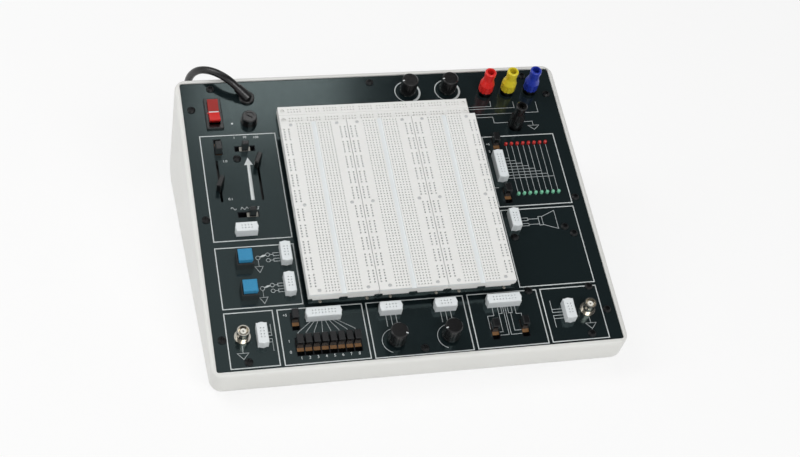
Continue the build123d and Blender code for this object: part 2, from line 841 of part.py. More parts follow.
# ---------------------------------------------------------------- panel
def front_panel():
    """Black panel with every window and hole for what passes through it."""
    sheet = RectangleRounded(panel_width, panel_length, panel_corner_r)

    def hole(centre, radius):
        return Pos(centre[0], centre[1]) * Circle(radius)

    def window(centre, width, length):
        return Pos(centre[0], centre[1]) * Rectangle(width + 2 * window_gap, length + 2 * window_gap)

    cuts = [hole(centre, hole_r) for centre in case_screws + inner_screws + speaker_screws]
    cuts += [hole(centre, bushing_r + hole_gap) for centre in knob_centres.values()]
    cuts += [hole(centre, post_stud_r + hole_gap) for centre in post_centres.values()]
    cuts += [hole(centre, bnc_barrel_r + hole_gap) for centre in bnc_centres]
    cuts += [hole(centre, lamp_r + hole_gap) for v in (red_lamp_v, green_lamp_v) for centre in lamp_places(v)]
    cuts.append(hole(fuse_centre, fuse_body_r + hole_gap))
    cuts.append(hole(relief_centre, relief_body_r + hole_gap))
    cuts.append(window(rocker_centre, rocker_width + 2 * rocker_side_gap + 2 * rocker_wall,
                       rocker_length + 2 * rocker_end_gap + 2 * rocker_wall))
    for centre in button_centres.values():
        cuts.append(window(centre, button_housing_width - 2 * button_neck, button_housing_length - 2 * button_neck))
    for u, _ in slide_pots.values():
        slot = Rot(0, 0, 90) * SlotOverall(slide_slot_high - slide_slot_low, slide_slot_width)
        cuts.append(Pos(u, slide_slot_middle()) * slot)
    width, length = upright_channel()
    width += 2 * housing_wall
    length += 2 * housing_collar
    cuts += [window(centre, width, length) for centre in upright_switches.values()]
    bank = (logic_switch_count - 1) * logic_switch_pitch
    first_u, bank_v = logic_switch_first
    cuts.append(window((first_u + bank / 2, bank_v), bank + width, length))
    width, length = across_channel()
    for centre in across_switches.values():
        cuts.append(window(centre, width + 2 * housing_wall, length + 2 * housing_collar))
    for cut in cuts:
        sheet -= cut
    return Pos(0, 0, -panel_thick) * extrude(sheet, panel_thick)


# ---------------------------------------------------------------- inside the case
def circuit_board():
    """Board that the switches, sliders and lamps stand on, cut away round the speaker."""
    length = board_rear_v - board_front_v
    middle = (0, (board_rear_v + board_front_v) / 2)
    body = slab(middle, 2 * board_half_width, length, board_top - board_thick, board_top)
    clear = speaker_flange / 2 + speaker_room
    u, v = speaker_centre
    body -= block(u - clear, board_half_width + 1, v - clear, v + clear, board_top - 5, board_top + 1)
    return body


def speaker():
    flange = slab(speaker_centre, speaker_flange, speaker_flange, -panel_thick - speaker_flange_thick,
                  -panel_thick, 4.0)
    for centre in speaker_screws:
        flange -= rod(centre, hole_r, -panel_thick - speaker_flange_thick - 1, 0)
    top = -panel_thick - speaker_flange_thick
    waist = top - speaker_cone_depth
    low = waist - speaker_magnet_depth
    basket = turned(speaker_centre, [
        (0, low), (speaker_magnet_r, low), (speaker_magnet_r, waist), (speaker_neck_r, waist),
        (speaker_cone_r, top), (0, top),
    ])
    dish = turned(speaker_centre, [
        (0, waist + 3), (speaker_neck_r - 4, waist + 3), (speaker_cone_r - 2, -panel_thick),
        (speaker_cone_r - 2, 0), (0, 0),
    ])
    return flange + basket - dish


def mains_transformer():
    """Laminated core with its windings, on feet on the case's floor."""
    x, y = transformer_place
    floor = foot_height + case_wall
    width, depth, height = core_size
    low = floor + core_foot_thick
    core = block(x - width / 2, x + width / 2, y - depth / 2, y + depth / 2, low, low + height)
    middle = low + height / 2
    winding_w, winding_d, winding_h = coil_size
    winding = block(x - winding_w / 2, x + winding_w / 2, y - winding_d / 2, y + winding_d / 2,
                    middle - winding_h / 2, middle + winding_h / 2)
    foot = block(x - width / 2 - core_foot_length, x + width / 2 + core_foot_length,
                 y - depth / 2, y + depth / 2, floor, low)
    return core + winding + foot


# ---------------------------------------------------------------- cord
def relief_tip():
    """Direction of the boot and the place of its tip, in the panel's frame."""
    lean = math.radians(relief_lean)
    heading = math.radians(relief_heading)
    direction = Vector(math.sin(lean) * math.cos(heading), math.sin(lean) * math.sin(heading), math.cos(lean))
    root = Vector(relief_centre[0], relief_centre[1], relief_flange_height)
    return root, direction, root + direction * relief_length


def strain_relief():
    """Bushing through the panel with a tapered boot that leans towards the rear edge."""
    root, direction, tip = relief_tip()
    bushing = turned(relief_centre, [
        (0, -relief_depth), (relief_body_r, -relief_depth), (relief_body_r, 0), (relief_flange_r, 0),
        (relief_flange_r, relief_flange_height - 0.8), (relief_flange_r - 0.8, relief_flange_height),
        (0, relief_flange_height),
    ])
    start = Plane(origin=root - direction * relief_sunk, z_dir=direction)
    boot = loft([start * Circle(relief_body_r - 0.6), Plane(origin=tip, z_dir=direction) * Circle(relief_tip_r)])
    reach = 2 * relief_length
    boot &= block(root.X - reach, root.X + reach, root.Y - reach, root.Y + reach, 0.5, reach)
    return bushing + boot


def cord_exit():
    _, direction, tip = relief_tip()
    here = Vector(*on_slope(tip.X, tip.Y, tip.Z))
    ahead = tip + direction
    there = Vector(*on_slope(ahead.X, ahead.Y, ahead.Z))
    return here, (there - here).normalized()


# The cord's route in the world's frame, from the boot over the rear rim and down to the coil
cord_lead = [
    (-123.84, 99.05, 137.89),
    (-132.5, 106.5, 141.6),
    (-142.5, 115.2, 140.4),
    (-150.5, 124.0, 133.0),
    (-155.0, 132.5, 120.0),
    (-154.0, 140.5, 101.0),
    (-148.5, 149.0, 80.0),
    (-138.0, 157.5, 59.0),
    (-123.0, 163.5, 40.0),
    (-105.0, 166.5, 24.0),
    (-86.0, 166.0, 11.5),
    (-67.0, 163.6, 4.8),
    (-49.0, 162.6, 3.25),
]
# The short tail from the top of the coil down to the plug
cord_tail = [
    (-30.0, 164.0, 15.0),
    (-8.0, 163.6, 14.0),
    (14.0, 164.4, 11.5),
]


def rounded_route(points):
    """Straight runs with tangent arcs; each arc is as large as its two runs allow."""
    spots = [Vector(*p) for p in points]
    radii = []
    for before, here, after in zip(spots, spots[1:], spots[2:]):
        turn = math.radians((here - before).get_angle(after - here))
        shorter = min((here - before).length, (after - here).length)
        radii.append(0.45 * shorter / math.tan(turn / 2))
    path = FilletPolyline(*spots, radius=radii)
    return path, radii


def tube(points, label):
    path, radii = rounded_route(points)
    spots = [Vector(*p) for p in points]
    ring = Plane(origin=spots[0], z_dir=spots[1] - spots[0]) * Circle(cord_r)
    body = sweep(ring, path=path)
    print(label, "radii", [round(r) for r in radii], "length", round(path.length, 1),
          "volume ratio", round(body.volume / (math.pi * cord_r ** 2 * path.length), 4))
    return body


def power_cord():
    exit_point, _ = cord_exit()
    return joined([tube([tuple(exit_point)] + cord_lead, "lead"), tube(cord_tail, "tail")])


def cord_coil():
    inner = coil_mid_r - coil_half_width
    outer = coil_mid_r + coil_half_width
    body = turned(coil_centre, [(inner, 0), (outer, 0), (outer, coil_height), (inner, coil_height)])
    return chamfer(body.edges(), cord_r)


def power_plug():
    """Moulded plug lying on the floor behind the case, with its neck towards the cord."""
    end = cord_tail[-1]
    length, width, height = plug_size
    x0, y, z = end[0] + plug_neck_length, end[1], height / 2
    body = Pos(x0 + length / 2, y, z) * Box(length, width, height)
    body = fillet(body.edges().filter_by(Axis.X), plug_edge)
    heading = Vector(*end) - Vector(*cord_tail[-2])
    neck = loft([
        Plane(origin=end, z_dir=heading) * Circle(cord_r + 1),
        Plane(origin=(x0 + 1, y, z), z_dir=(1, 0, 0)) * Circle(plug_neck_r),
    ])
    face = x0 + length
    blade_length, blade_thick, blade_width = blade_size
    blades = [Pos(face + blade_length / 2, y + side * blade_spread / 2, z - 3) *
              Box(blade_length, blade_thick, blade_width) for side in (-1, 1)]
    pin = Pos(face, y, z + earth_pin_rise) * Rot(0, 90, 0) * extrude(Circle(earth_pin_r), earth_pin_length)
    return joined([body + neck] + blades + [pin])


# ---------------------------------------------------------------- write every node
nodes = {
    "case_tub": joined([tub]),
    "front_panel": joined([front_panel()]),
    "panel_screws": panel_screws(),
    "board_plate": joined([board_plate()]),
    "plate_spacers": plate_spacers(),
    "upper_bus_strips": joined([bus_strip(row) for row in (0, 1)]),
    "short_sockets": sockets(short_socket_length, short_sockets_level, short_sockets_upright),
    "long_sockets": sockets(long_socket_length, long_sockets_level, long_sockets_upright),
    "rocker_frame": joined([rocker_frame()]),
    "power_rocker": joined([power_rocker()]),
    "fuse_holder": joined([fuse_holder()]),
    "fuse_cap": joined([fuse_cap()]),
    "cartridge_fuse": joined([cartridge_fuse()]),
    "strain_relief": joined([strain_relief()]),
    "rotary_pots": rotary_pots(),
    "slide_pots": slide_pot_bodies(),
    "switch_frames": switch_frames(),
    "button_housings": button_housings(),
    "post_bases": post_bases(),
    "bnc_sockets": bnc_sockets(),
    "red_lamps": lamps(red_lamp_v),
    "green_lamps": lamps(green_lamp_v),
    "circuit_board": joined([circuit_board()]),
    "speaker": joined([speaker()]),
}
for name, side in (("left", -1), ("middle", 0), ("right", 1)):
    nodes[f"{name}_terminal_block"] = joined([terminal_block(blocks_centre[0] + side * block_width)])
for name, centre in knob_centres.items():
    nodes[name] = knob(centre)
for name, centre in slide_pots.items():
    nodes[name] = slide_lever(centre)
for name, centre in upright_switches.items():
    nodes[name] = upright_lever(centre, -1 if name in levers_at_lower_end else 1)
for i, centre in enumerate(logic_switch_places()):
    nodes[f"logic_lever_{i + 1}"] = upright_lever(centre)
nodes["range_lever"] = across_lever(across_switches["range_lever"], 0)
nodes["waveform_lever"] = across_lever(across_switches["waveform_lever"], across_travel / 2)
for name, centre in button_centres.items():
    nodes[f"{name}_cap"] = button_cap(centre)
for name, centre in post_centres.items():
    nodes[name] = joined([post_cap(centre)])

for name, solids in nodes.items():
    save(name, solids, slope)

save("case_feet", case_feet(), level)
save("mains_transformer", joined([mains_transformer()]), level)
save("power_cord", power_cord(), level)
save("cord_coil", joined([cord_coil()]), level)
save("power_plug", power_plug(), level)
print("origin_y", round(origin_y, 3), "origin_z", round(origin_z, 3), "exit", cord_exit())
print("lever travel", lever_travel, "across travel", across_travel)
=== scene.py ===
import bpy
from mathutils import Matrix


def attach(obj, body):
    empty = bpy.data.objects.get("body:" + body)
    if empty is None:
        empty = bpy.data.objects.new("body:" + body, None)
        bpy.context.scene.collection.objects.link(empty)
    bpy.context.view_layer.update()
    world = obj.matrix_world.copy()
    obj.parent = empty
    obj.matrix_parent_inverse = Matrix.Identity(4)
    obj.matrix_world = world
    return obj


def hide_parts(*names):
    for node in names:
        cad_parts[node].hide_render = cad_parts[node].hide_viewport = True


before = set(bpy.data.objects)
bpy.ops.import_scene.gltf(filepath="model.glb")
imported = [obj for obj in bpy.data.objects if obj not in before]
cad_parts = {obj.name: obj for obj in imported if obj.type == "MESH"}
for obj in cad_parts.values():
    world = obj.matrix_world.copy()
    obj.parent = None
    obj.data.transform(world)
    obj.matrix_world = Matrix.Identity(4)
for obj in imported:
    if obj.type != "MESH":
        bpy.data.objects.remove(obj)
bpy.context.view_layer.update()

import math

import bmesh
import bpy
from mathutils import Matrix, Vector

# Pieces are drawn in millimetres and then set down in metres. Most are drawn in the panel's
# frame: u to the right, v up the slope, w square to the panel, with 0 on its upper face.
MM = 0.001
PANEL_TILT = math.radians(21)
PANEL_CENTRE = (0.0, -19.943, 78.737)
ON_TABLE = Matrix.Scale(MM, 4)
ON_PANEL = ON_TABLE @ Matrix.Translation(PANEL_CENTRE) @ Matrix.Rotation(PANEL_TILT, 4, "X")
scene = bpy.context.scene
scene.view_settings.view_transform = "Standard"

# ---------------------------------------------------------------- camera
camera_data = bpy.data.cameras.new("camera")
camera_data.sensor_width = 36.0
camera_data.lens = 68.77
camera_data.clip_start = 0.05
camera = bpy.data.objects.new("camera", camera_data)
camera.location = (-0.28586, -0.99983, 0.80373)
camera.rotation_euler = [math.radians(angle) for angle in (53.721, -4.966, -12.921)]
scene.collection.objects.link(camera)
scene.camera = camera


# ---------------------------------------------------------------- colours and nodes
def colour(code):
    """Linear colour from an sRGB hex code."""
    parts = [int(code[i:i + 2], 16) / 255 for i in (1, 3, 5)]
    return [p / 12.92 if p <= 0.04045 else ((p + 0.055) / 1.055) ** 2.4 for p in parts] + [1.0]


def add_node(tree, kind, inputs, **settings):
    """Add a node with its own settings, then set or link each of its inputs."""
    node = tree.nodes.new(kind)
    for name, value in settings.items():
        setattr(node, name, value)
    for name, value in inputs.items():
        if isinstance(value, bpy.types.NodeSocket):
            tree.links.new(value, node.inputs[name])
        else:
            node.inputs[name].default_value = value
    return node


def panel_place(tree, scale=(1, 1, 1)):
    """Object coordinates turned to the panel's frame, in metres, stretched by scale."""
    place = add_node(tree, "ShaderNodeTexCoord", {})
    level = add_node(tree, "ShaderNodeMapping", {
        "Vector": place.outputs["Object"], "Rotation": (-PANEL_TILT, 0, 0)})
    return add_node(tree, "ShaderNodeVectorMath", {
        0: level.outputs["Vector"], 1: scale}, operation="MULTIPLY").outputs["Vector"]


BLOTCH = 45.0               # size in mm of the slow changes of tone
NOISE_RANGE = (0.3, 0.7)    # where nearly all values of the noise lie


def surface(name, main, shade, roughness, grain, bump, spread=0.08, stretch=(1, 1, 1), paint=None,
            **shader):
    """A finish with two tones, and gloss and relief that vary over grains; sizes in mm."""
    material = bpy.data.materials.new(name)
    material.use_nodes = True
    tree = material.node_tree
    tree.nodes.clear()
    place = panel_place(tree, stretch)
    fine = add_node(tree, "ShaderNodeTexNoise", {
        "Vector": place, "Scale": 1 / (grain * MM), "Detail": 3.0, "Roughness": 0.6})
    broad = add_node(tree, "ShaderNodeTexNoise", {
        "Vector": place, "Scale": 1 / (BLOTCH * MM), "Detail": 2.0, "Roughness": 0.5})
    tone = add_node(tree, "ShaderNodeMix", {
        0: broad.outputs["Fac"], 6: colour(main), 7: colour(shade)}, data_type="RGBA").outputs[2]
    if paint:
        tone = paint(tree, tone)
    gloss = add_node(tree, "ShaderNodeMapRange", {
        "Value": fine.outputs["Fac"], "From Min": NOISE_RANGE[0], "From Max": NOISE_RANGE[1],
        "To Min": max(roughness - spread, 0.02), "To Max": roughness + spread})
    relief = add_node(tree, "ShaderNodeBump", {
        "Height": fine.outputs["Fac"], "Distance": bump * MM})
    shaded = add_node(tree, "ShaderNodeBsdfPrincipled", {
        "Base Color": tone, "Roughness": gloss.outputs["Result"],
        "Normal": relief.outputs["Normal"], **shader})
    add_node(tree, "ShaderNodeOutputMaterial", {"Surface": shaded.outputs["BSDF"]})
    return material


def band(low, high, code, axis="Z"):
    """Paint for what lies between two places in mm along v (Y) or w (Z): a second colour there."""
    index = "XYZ".index(axis)

    def paint(tree, tone):
        parts = add_node(tree, "ShaderNodeSeparateXYZ", {"Vector": panel_place(tree)})
        middle = Vector((0, 0, 0))
        middle[index] = (low + high) / 2
        level = (Matrix.Rotation(-PANEL_TILT, 4, "X") @ ON_PANEL @ middle)[index]
        within = add_node(tree, "ShaderNodeMath", {
            0: parts.outputs[axis], 1: level, 2: (high - low) / 2 * MM}, operation="COMPARE")
        return add_node(tree, "ShaderNodeMix", {
            0: within.outputs["Value"], 6: tone, 7: colour(code)}, data_type="RGBA").outputs[2]
    return paint


# ---------------------------------------------------------------- finishes
# Where a finish has its second colour: from and to a height w, or a place v on the rocker
# Painted shade in the blocks' channel: the heights w that get a cooler tone
CHANNEL_SHADE_BAND = (15.0, 16.4)
SLIDER = (-1.0, -0.3)
POST_COLLAR = (-5.0, 4.05)
ROCKER_CENTRE = (-137.6, 103.8)
# The rocker's upper half, painted a darker red as painted shade
ROCKER_SHADED_HALF = (ROCKER_CENTRE[1], 120.0)
# Injection-moulded ABS, off-white: fine spark-eroded texture, soft satin shine
case_abs = surface("moulded_abs_case", "#DEDEDB", "#D7D7D3", roughness=0.42, grain=0.7, bump=0.03,
                   IOR=1.53)
# Baked enamel on sheet metal, black: near mirror gloss with a faint orange peel
panel_enamel = surface("baked_black_enamel", "#121A1C", "#151E20", roughness=0.15, grain=5.0,
                       bump=0.006, spread=0.02, IOR=1.5,
                       **{"Specular Tint": (0.78, 1.0, 1.0, 1.0)})
# Moulded nylon, white: satin; a cooler grey-blue at the channel's depth is painted shade
block_nylon = surface("white_nylon", "#E8E8E6", "#E3E3E0", roughness=0.45, grain=1.2, bump=0.01,
                      paint=band(*CHANNEL_SHADE_BAND, "#E3E7E8"), IOR=1.53)
# The small sockets' nylon: a cooler white
socket_nylon = surface("cool_white_nylon", "#E2E6E7", "#DBE0E2", roughness=0.4, grain=1.2,
                       bump=0.01, IOR=1.53)
# Phosphor bronze clips seen down the tie points: dull grey-brown
clip_bronze = surface("phosphor_bronze_clip", "#A8A29A", "#8E887F", roughness=0.4, grain=0.6,
                      bump=0.01, Metallic=0.4)
# Floors of the wider tie points in the bus columns: darker grey, painted shade down the deeper
# holes
bus_hole = surface("bus_hole_shadow", "#6A6A66", "#5A5A56", roughness=0.6, grain=0.6, bump=0.01)
# Screen-printing ink, white: matt, slightly uneven where it lies on the gloss
white_ink = surface("screen_ink_white", "#D4D8D8", "#C4C9C9", roughness=0.6, grain=0.4, bump=0.01)
# The same ink in the thin lines, which lets some of the black through
thin_ink = surface("screen_ink_thin", "#B4B9BA", "#A6ABAC", roughness=0.6, grain=0.4, bump=0.01)
# Moulded ABS, black, polished: knobs, posts and bezels
black_abs = surface("polished_black_abs", "#0D0D0E", "#131314", roughness=0.22, grain=0.9,
                    bump=0.008, spread=0.05, IOR=1.53)
# Acetal switch levers, black, on a slider of brown phenolic board just under the panel
lever_black = surface("black_acetal_lever", "#101112", "#17181A", roughness=0.2, grain=0.8,
                      bump=0.01, spread=0.06, paint=band(*SLIDER, "#7A5630"), IOR=1.5)
# The two levers that slide across: black acetal over a plated slider
# The slider's flat light grey is partly the steel's tone, partly its glints as painted highlight
across_lever = surface("black_acetal_across_lever", "#101112", "#17181A", roughness=0.2, grain=0.8,
                       bump=0.01, spread=0.06, paint=band(*SLIDER, "#8C8A82"), IOR=1.5)
# Inside of the switches, blackened steel
switch_steel = surface("blackened_switch_steel", "#24262A", "#2E3034", roughness=0.35, grain=0.5,
                       bump=0.01, spread=0.1, Metallic=0.7)
# Tin-plated steel, rolled: dull bright grey
tin_steel = surface("tin_plated_steel", "#8F8B82", "#6F6B64", roughness=0.38, grain=0.5, bump=0.01,
                    spread=0.1, stretch=(1, 6, 1), Metallic=1.0)
# Zinc-plated screws in the blocks: pale grey, soft shine
block_steel = surface("zinc_plate", "#D2D4D4", "#C4C6C7", roughness=0.45, grain=0.5, bump=0.006,
                      spread=0.1, Metallic=0.3)
# Black-oxide screws: dark, oily shine
oxide_screw = surface("black_oxide_screw", "#141516", "#1C1D1F", roughness=0.3, grain=0.3,
                      bump=0.008, spread=0.1, Metallic=0.5)
# Nickel plate on brass, turned: warm bright metal
nickel = surface("nickel_plate", "#D8D4CC", "#C2BDB2", roughness=0.2, grain=0.35, bump=0.004,
                 spread=0.08, Metallic=1.0)
# Posts: the same nickel, with a moulded black collar on the panel
post_nickel = surface("nickel_plate_black_collar", "#D8D4CC", "#C2BDB2", roughness=0.24,
                      grain=0.35, bump=0.004, spread=0.08, paint=band(*POST_COLLAR, "#121213"),
                      Metallic=1.0)
# Polycarbonate rocker, red: its upper half is painted a darker red, as painted shade
rocker_red = surface("red_polycarbonate", "#DC3430", "#D02E2A", roughness=0.2, grain=1.5,
                     bump=0.005, spread=0.05, IOR=1.58,
                     paint=band(*ROCKER_SHADED_HALF, "#94180F", "Y"),
                     **{"Subsurface Weight": 0.15, "Subsurface Scale": 0.002})
button_blue = surface("blue_abs_button", "#2A89B4", "#257DA8", roughness=0.3, grain=0.9,
                      bump=0.008, spread=0.05, IOR=1.53)
post_red = surface("red_post_nylon", "#E02A26", "#D02420", roughness=0.3, grain=0.9, bump=0.01,
                   spread=0.06, IOR=1.53)
post_yellow = surface("yellow_post_nylon", "#DDCB2E", "#CDBB28", roughness=0.3, grain=0.9,
                      bump=0.01, spread=0.06, IOR=1.53)
post_blue = surface("blue_post_nylon", "#2238A8", "#1C2E92", roughness=0.3, grain=0.9, bump=0.01,
                    spread=0.06, IOR=1.53)
# Tinted epoxy lamps: glossy and a little clear
lamp_red = surface("red_epoxy_lamp", "#D8322C", "#B42420", roughness=0.15, grain=0.9, bump=0.004,
                   spread=0.04, IOR=1.5, **{"Transmission Weight": 0.25})
lamp_green = surface("green_epoxy_lamp", "#8FD9B6", "#6CC49C", roughness=0.15, grain=0.9,
                     bump=0.004, spread=0.04, IOR=1.5, **{"Transmission Weight": 0.25})
# Moulded rubber feet: matt black
foot_rubber = surface("black_rubber", "#141414", "#1A1A1A", roughness=0.8, grain=0.5, bump=0.03)
# Vinyl cord jacket, black: satin
cord_vinyl = surface("black_vinyl_jacket", "#0E0E0F", "#151516", roughness=0.3, grain=1.1,
                     bump=0.012, spread=0.06, IOR=1.5)
# Woven nylon hook-and-loop tie: black, fuzzy and matt
tie_nylon = surface("black_woven_tie", "#17171A", "#202024", roughness=0.85, grain=0.9, bump=0.12)
# Epoxy-glass laminate: green solder mask over woven glass
laminate = surface("green_solder_mask", "#1F5A32", "#1A4C2A", roughness=0.35, grain=0.8, bump=0.01)
# Varnished transformer laminations: dark, edges striped
varnish = surface("varnished_laminations", "#2A2622", "#3A342C", roughness=0.4, grain=0.5,
                  bump=0.03, stretch=(1, 12, 1), Metallic=0.4)
# Doped paper cone and pressed basket of the loudspeaker
speaker_paper = surface("speaker_black", "#1A1A1A", "#222222", roughness=0.7, grain=0.6, bump=0.03)
# Clear glass fuse with nickel ends
fuse_glass = surface("fuse_glass", "#D8E0DE", "#E4EAE8", roughness=0.08, grain=2.0, bump=0.002,
                     spread=0.02, **{"Transmission Weight": 0.7})
# Turned PTFE inside the coaxial sockets: waxy white
ptfe = surface("white_ptfe", "#E8E6DE", "#DEDCD2", roughness=0.5, grain=0.6, bump=0.01)

node_finish = {
    "case_tub": case_abs, "case_feet": foot_rubber, "front_panel": panel_enamel,
    "board_plate": panel_enamel, "panel_screws": oxide_screw, "plate_spacers": tin_steel,
    "rocker_frame": black_abs, "power_rocker": rocker_red, "fuse_holder": black_abs,
    "fuse_cap": black_abs, "cartridge_fuse": fuse_glass, "strain_relief": cord_vinyl,
    "rotary_pots": tin_steel, "slide_pots": black_abs, "switch_frames": switch_steel,
    "button_housings": black_abs, "post_bases": post_nickel, "red_post_cap": post_red,
    "yellow_post_cap": post_yellow, "blue_post_cap": post_blue, "black_post_cap": black_abs,
    "bnc_sockets": nickel, "red_lamps": lamp_red, "green_lamps": lamp_green,
    "circuit_board": laminate, "speaker": speaker_paper, "mains_transformer": varnish,
    "power_plug": cord_vinyl, "upper_button_cap": button_blue, "lower_button_cap": button_blue,
    "frequency_lever": black_abs, "amplitude_lever": black_abs, "range_lever": across_lever,
    "waveform_lever": across_lever,
}
# Other nodes are switch levers and black mouldings
for node_name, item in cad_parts.items():
    finish = node_finish.get(node_name)
    if finish is None:
        is_lever = node_name.endswith("_lever") or "logic_lever" in node_name
        finish = lever_black if is_lever else black_abs
    item.data.materials.clear()
    item.data.materials.append(finish)


# ---------------------------------------------------------------- working by hand
def make_active(item):
    bpy.ops.object.select_all(action="DESELECT")
    item.select_set(True)
    bpy.context.view_layer.objects.active = item


def start_edit(item):
    make_active(item)
    bpy.ops.object.mode_set(mode="EDIT")


def end_edit():
    bpy.ops.object.mode_set(mode="OBJECT")


def pick(item, test, kind="FACE"):
    """In edit mode, select the faces, edges or corners for which test(part, its middle) holds."""
    bpy.ops.mesh.select_mode(type=kind)
    bpy.ops.mesh.select_all(action="DESELECT")
    mesh = bmesh.from_edit_mesh(item.data)
    for part in {"FACE": mesh.faces, "EDGE": mesh.edges, "VERT": mesh.verts}[kind]:
        if kind == "FACE":
            middle = part.calc_center_median()
        else:
            middle = part.co if kind == "VERT" else (part.verts[0].co + part.verts[1].co) / 2
        if test(part, middle):
            part.select_set(True)
    mesh.select_flush_mode()
    bmesh.update_edit_mesh(item.data)


def named(item, name, *materials):
    """Name a piece and its mesh, and give it these materials alone."""
    item.name = item.data.name = name
    item.data.materials.clear()
    for material in materials:
        item.data.materials.append(material)
    return item


def modify(item, kind, **settings):
    """Put a modifier on a piece and apply it."""
    make_active(item)
    modifier = item.modifiers.new(kind.lower(), kind)
    for name, value in settings.items():
        setattr(modifier, name, value)
    bpy.ops.object.modifier_apply(modifier=modifier.name)


def join(items, name, material=None):
    """Join pieces into the first of them; a material takes the place of their own."""
    bpy.ops.object.select_all(action="DESELECT")
    for item in items:
        item.select_set(True)
    whole = items[0]
    bpy.context.view_layer.objects.active = whole
    bpy.ops.object.join()
    whole.name = whole.data.name = name
    return named(whole, name, material) if material else whole


def moved(item, shift, turn=0.0):
    """Turn a piece's mesh about z, in radians, and then move it."""
    item.data.transform(Matrix.Translation(shift) @ Matrix.Rotation(turn, 4, "Z"))
    return item


def copy_of(item, name, shift, turn=0.0):
    """A copy with its own mesh, turned and moved."""
    twin = item.copy()
    twin.data = item.data.copy()
    twin.name = name
    scene.collection.objects.link(twin)
    return moved(twin, shift, turn)


def set_down(item, body="trainer", place=ON_PANEL, smooth=None, stands_for=()):
    """Bring a finished piece from millimetres to its place, and let it ride on a body."""
    item.data.transform(place)
    if smooth:
        make_active(item)
        bpy.ops.object.shade_smooth_by_angle(angle=math.radians(smooth))
    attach(item, body)
    if stands_for:
        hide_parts(*stands_for)
    return item


# ---------------------------------------------------------------- mains cord
# Its route: out of the strain relief and over the rear edge, through the coil, and to the plug
CORD_RADIUS = 3.25
cord_exit = (-115.574, 94.462, 130.495)
cord_lead = [
    (-120.5, 97.2, 134.9), (-127.8, 102.0, 138.5), (-135.9, 109.0, 139.2), (-144.3, 117.6, 135.6),
    (-150.3, 126.8, 126.2), (-152.8, 135.5, 112.0), (-151.3, 143.4, 94.0), (-146.0, 151.0, 75.0),
    (-138.0, 157.5, 59.0), (-123.0, 163.5, 40.0), (-105.0, 166.5, 24.0), (-86.0, 166.0, 11.5),
    (-67.0, 163.6, 4.8), (-49.0, 162.6, 3.4),
]
cord_tail = [(-30.0, 164.0, 15.4), (-8.0, 163.6, 14.0), (14.0, 164.4, 11.5)]
coil_centre = (-30.0, 203.0)
# Each turn of the coil: the radius at its start and the height of its middle
coil_turns = [
    (40.2, 3.4), (33.7, 3.4), (27.2, 3.4), (27.2, 9.3), (33.7, 9.3), (40.2, 9.3), (39.2, 15.3),
]
TURN_POINTS = 14
CROSSING = 0.55    # the share of a turn after which it moves on to the next one's place


def coil_points():
    """Turns that wind in along the table, out again on top and once more round above."""
    points = []
    for turn, (radius, height) in enumerate(coil_turns):
        after = coil_turns[min(turn + 1, len(coil_turns) - 1)]
        for step in range(TURN_POINTS):
            share = step / TURN_POINTS
            blend = max((share - CROSSING) / (1 - CROSSING), 0.0)
            r = radius + (after[0] - radius) * blend
            z = height + (after[1] - height) * blend
            angle = 2 * math.pi * share - math.pi / 2
            points.append((coil_centre[0] + r * math.cos(angle),
                           coil_centre[1] + r * math.sin(angle), z))
    return points[1:]


cord_route = [cord_exit] + cord_lead + coil_points() + cord_tail
cord_curve = bpy.data.curves.new("mains_cord", "CURVE")
cord_curve.dimensions = "3D"
cord_line = cord_curve.splines.new("NURBS")
cord_line.points.add(len(cord_route) - 1)
for point, spot in zip(cord_line.points, cord_route):
    point.co = (*(Vector(spot) * MM), 1.0)
cord_line.order_u = 3
cord_line.use_endpoint_u = True
cord_line.resolution_u = 6
cord_curve.bevel_depth = CORD_RADIUS * MM
cord_curve.bevel_resolution = 4
cord_curve.use_fill_caps = True
cord_curve.materials.append(cord_vinyl)
mains_cord = bpy.data.objects.new("mains_cord", cord_curve)
scene.collection.objects.link(mains_cord)
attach(mains_cord, "trainer")
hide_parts("power_cord", "cord_coil")

# ---------------------------------------------------------------- terminal blocks
PITCH = 2.54
ROWS = 64
BLOCK_W0, BLOCK_TOP = 8.5, 17.0    # the heights w of a block's underside and top
BLOCK_MIDDLE = (-2.8, -2.3)
BLOCK_SIZE = (22 * PITCH, 65 * PITCH)
BLOCK_GAP = 0.4
BLOCK_EDGE = 0.25
CHANNEL_WIDTH, CHANNEL_DEPTH = 4.0, 1.2
NOTCH_RADIUS = 3.6          # half-round notches under the two ends
MOUNT_INSET = (8.6, 3.4)    # from a block's sides to its mounting holes
MOUNT_HOLE_RADIUS = 1.5
HOLE_CUT = 2.4              # length of the cutters, half of it in the block
# Columns of tie points across one block, in pitches from its left edge
bus_columns = [1.0, 2.5, 19.5, 21.0]
field_columns = [5.5 + i for i in range(5)] + [12.5 + i for i in range(5)]
# Rows of the bus columns: ten groups of five, with a wider gap in the middle
bus_rows = [2 + 6 * group + (1 if group > 4 else 0) + i for group in range(10) for i in range(5)]


def cut_sheet(size, height, cuts_x, cuts_y):
    """A flat sheet at a height, cut right across at each place."""
    bpy.ops.mesh.primitive_plane_add(size=1)
    sheet = bpy.context.active_object
    start_edit(sheet)
    bpy.ops.mesh.select_all(action="SELECT")
    bpy.ops.transform.resize(value=(size[0], size[1], 1), center_override=(0, 0, 0))
    bpy.ops.transform.translate(value=(0, 0, height))
    cuts = [((x, 0, 0), (1, 0, 0)) for x in cuts_x] + [((0, y, 0), (0, 1, 0)) for y in cuts_y]
    for place, normal in cuts:
        bpy.ops.mesh.select_all(action="SELECT")
        bpy.ops.mesh.bisect(plane_co=place, plane_no=normal)
    return sheet


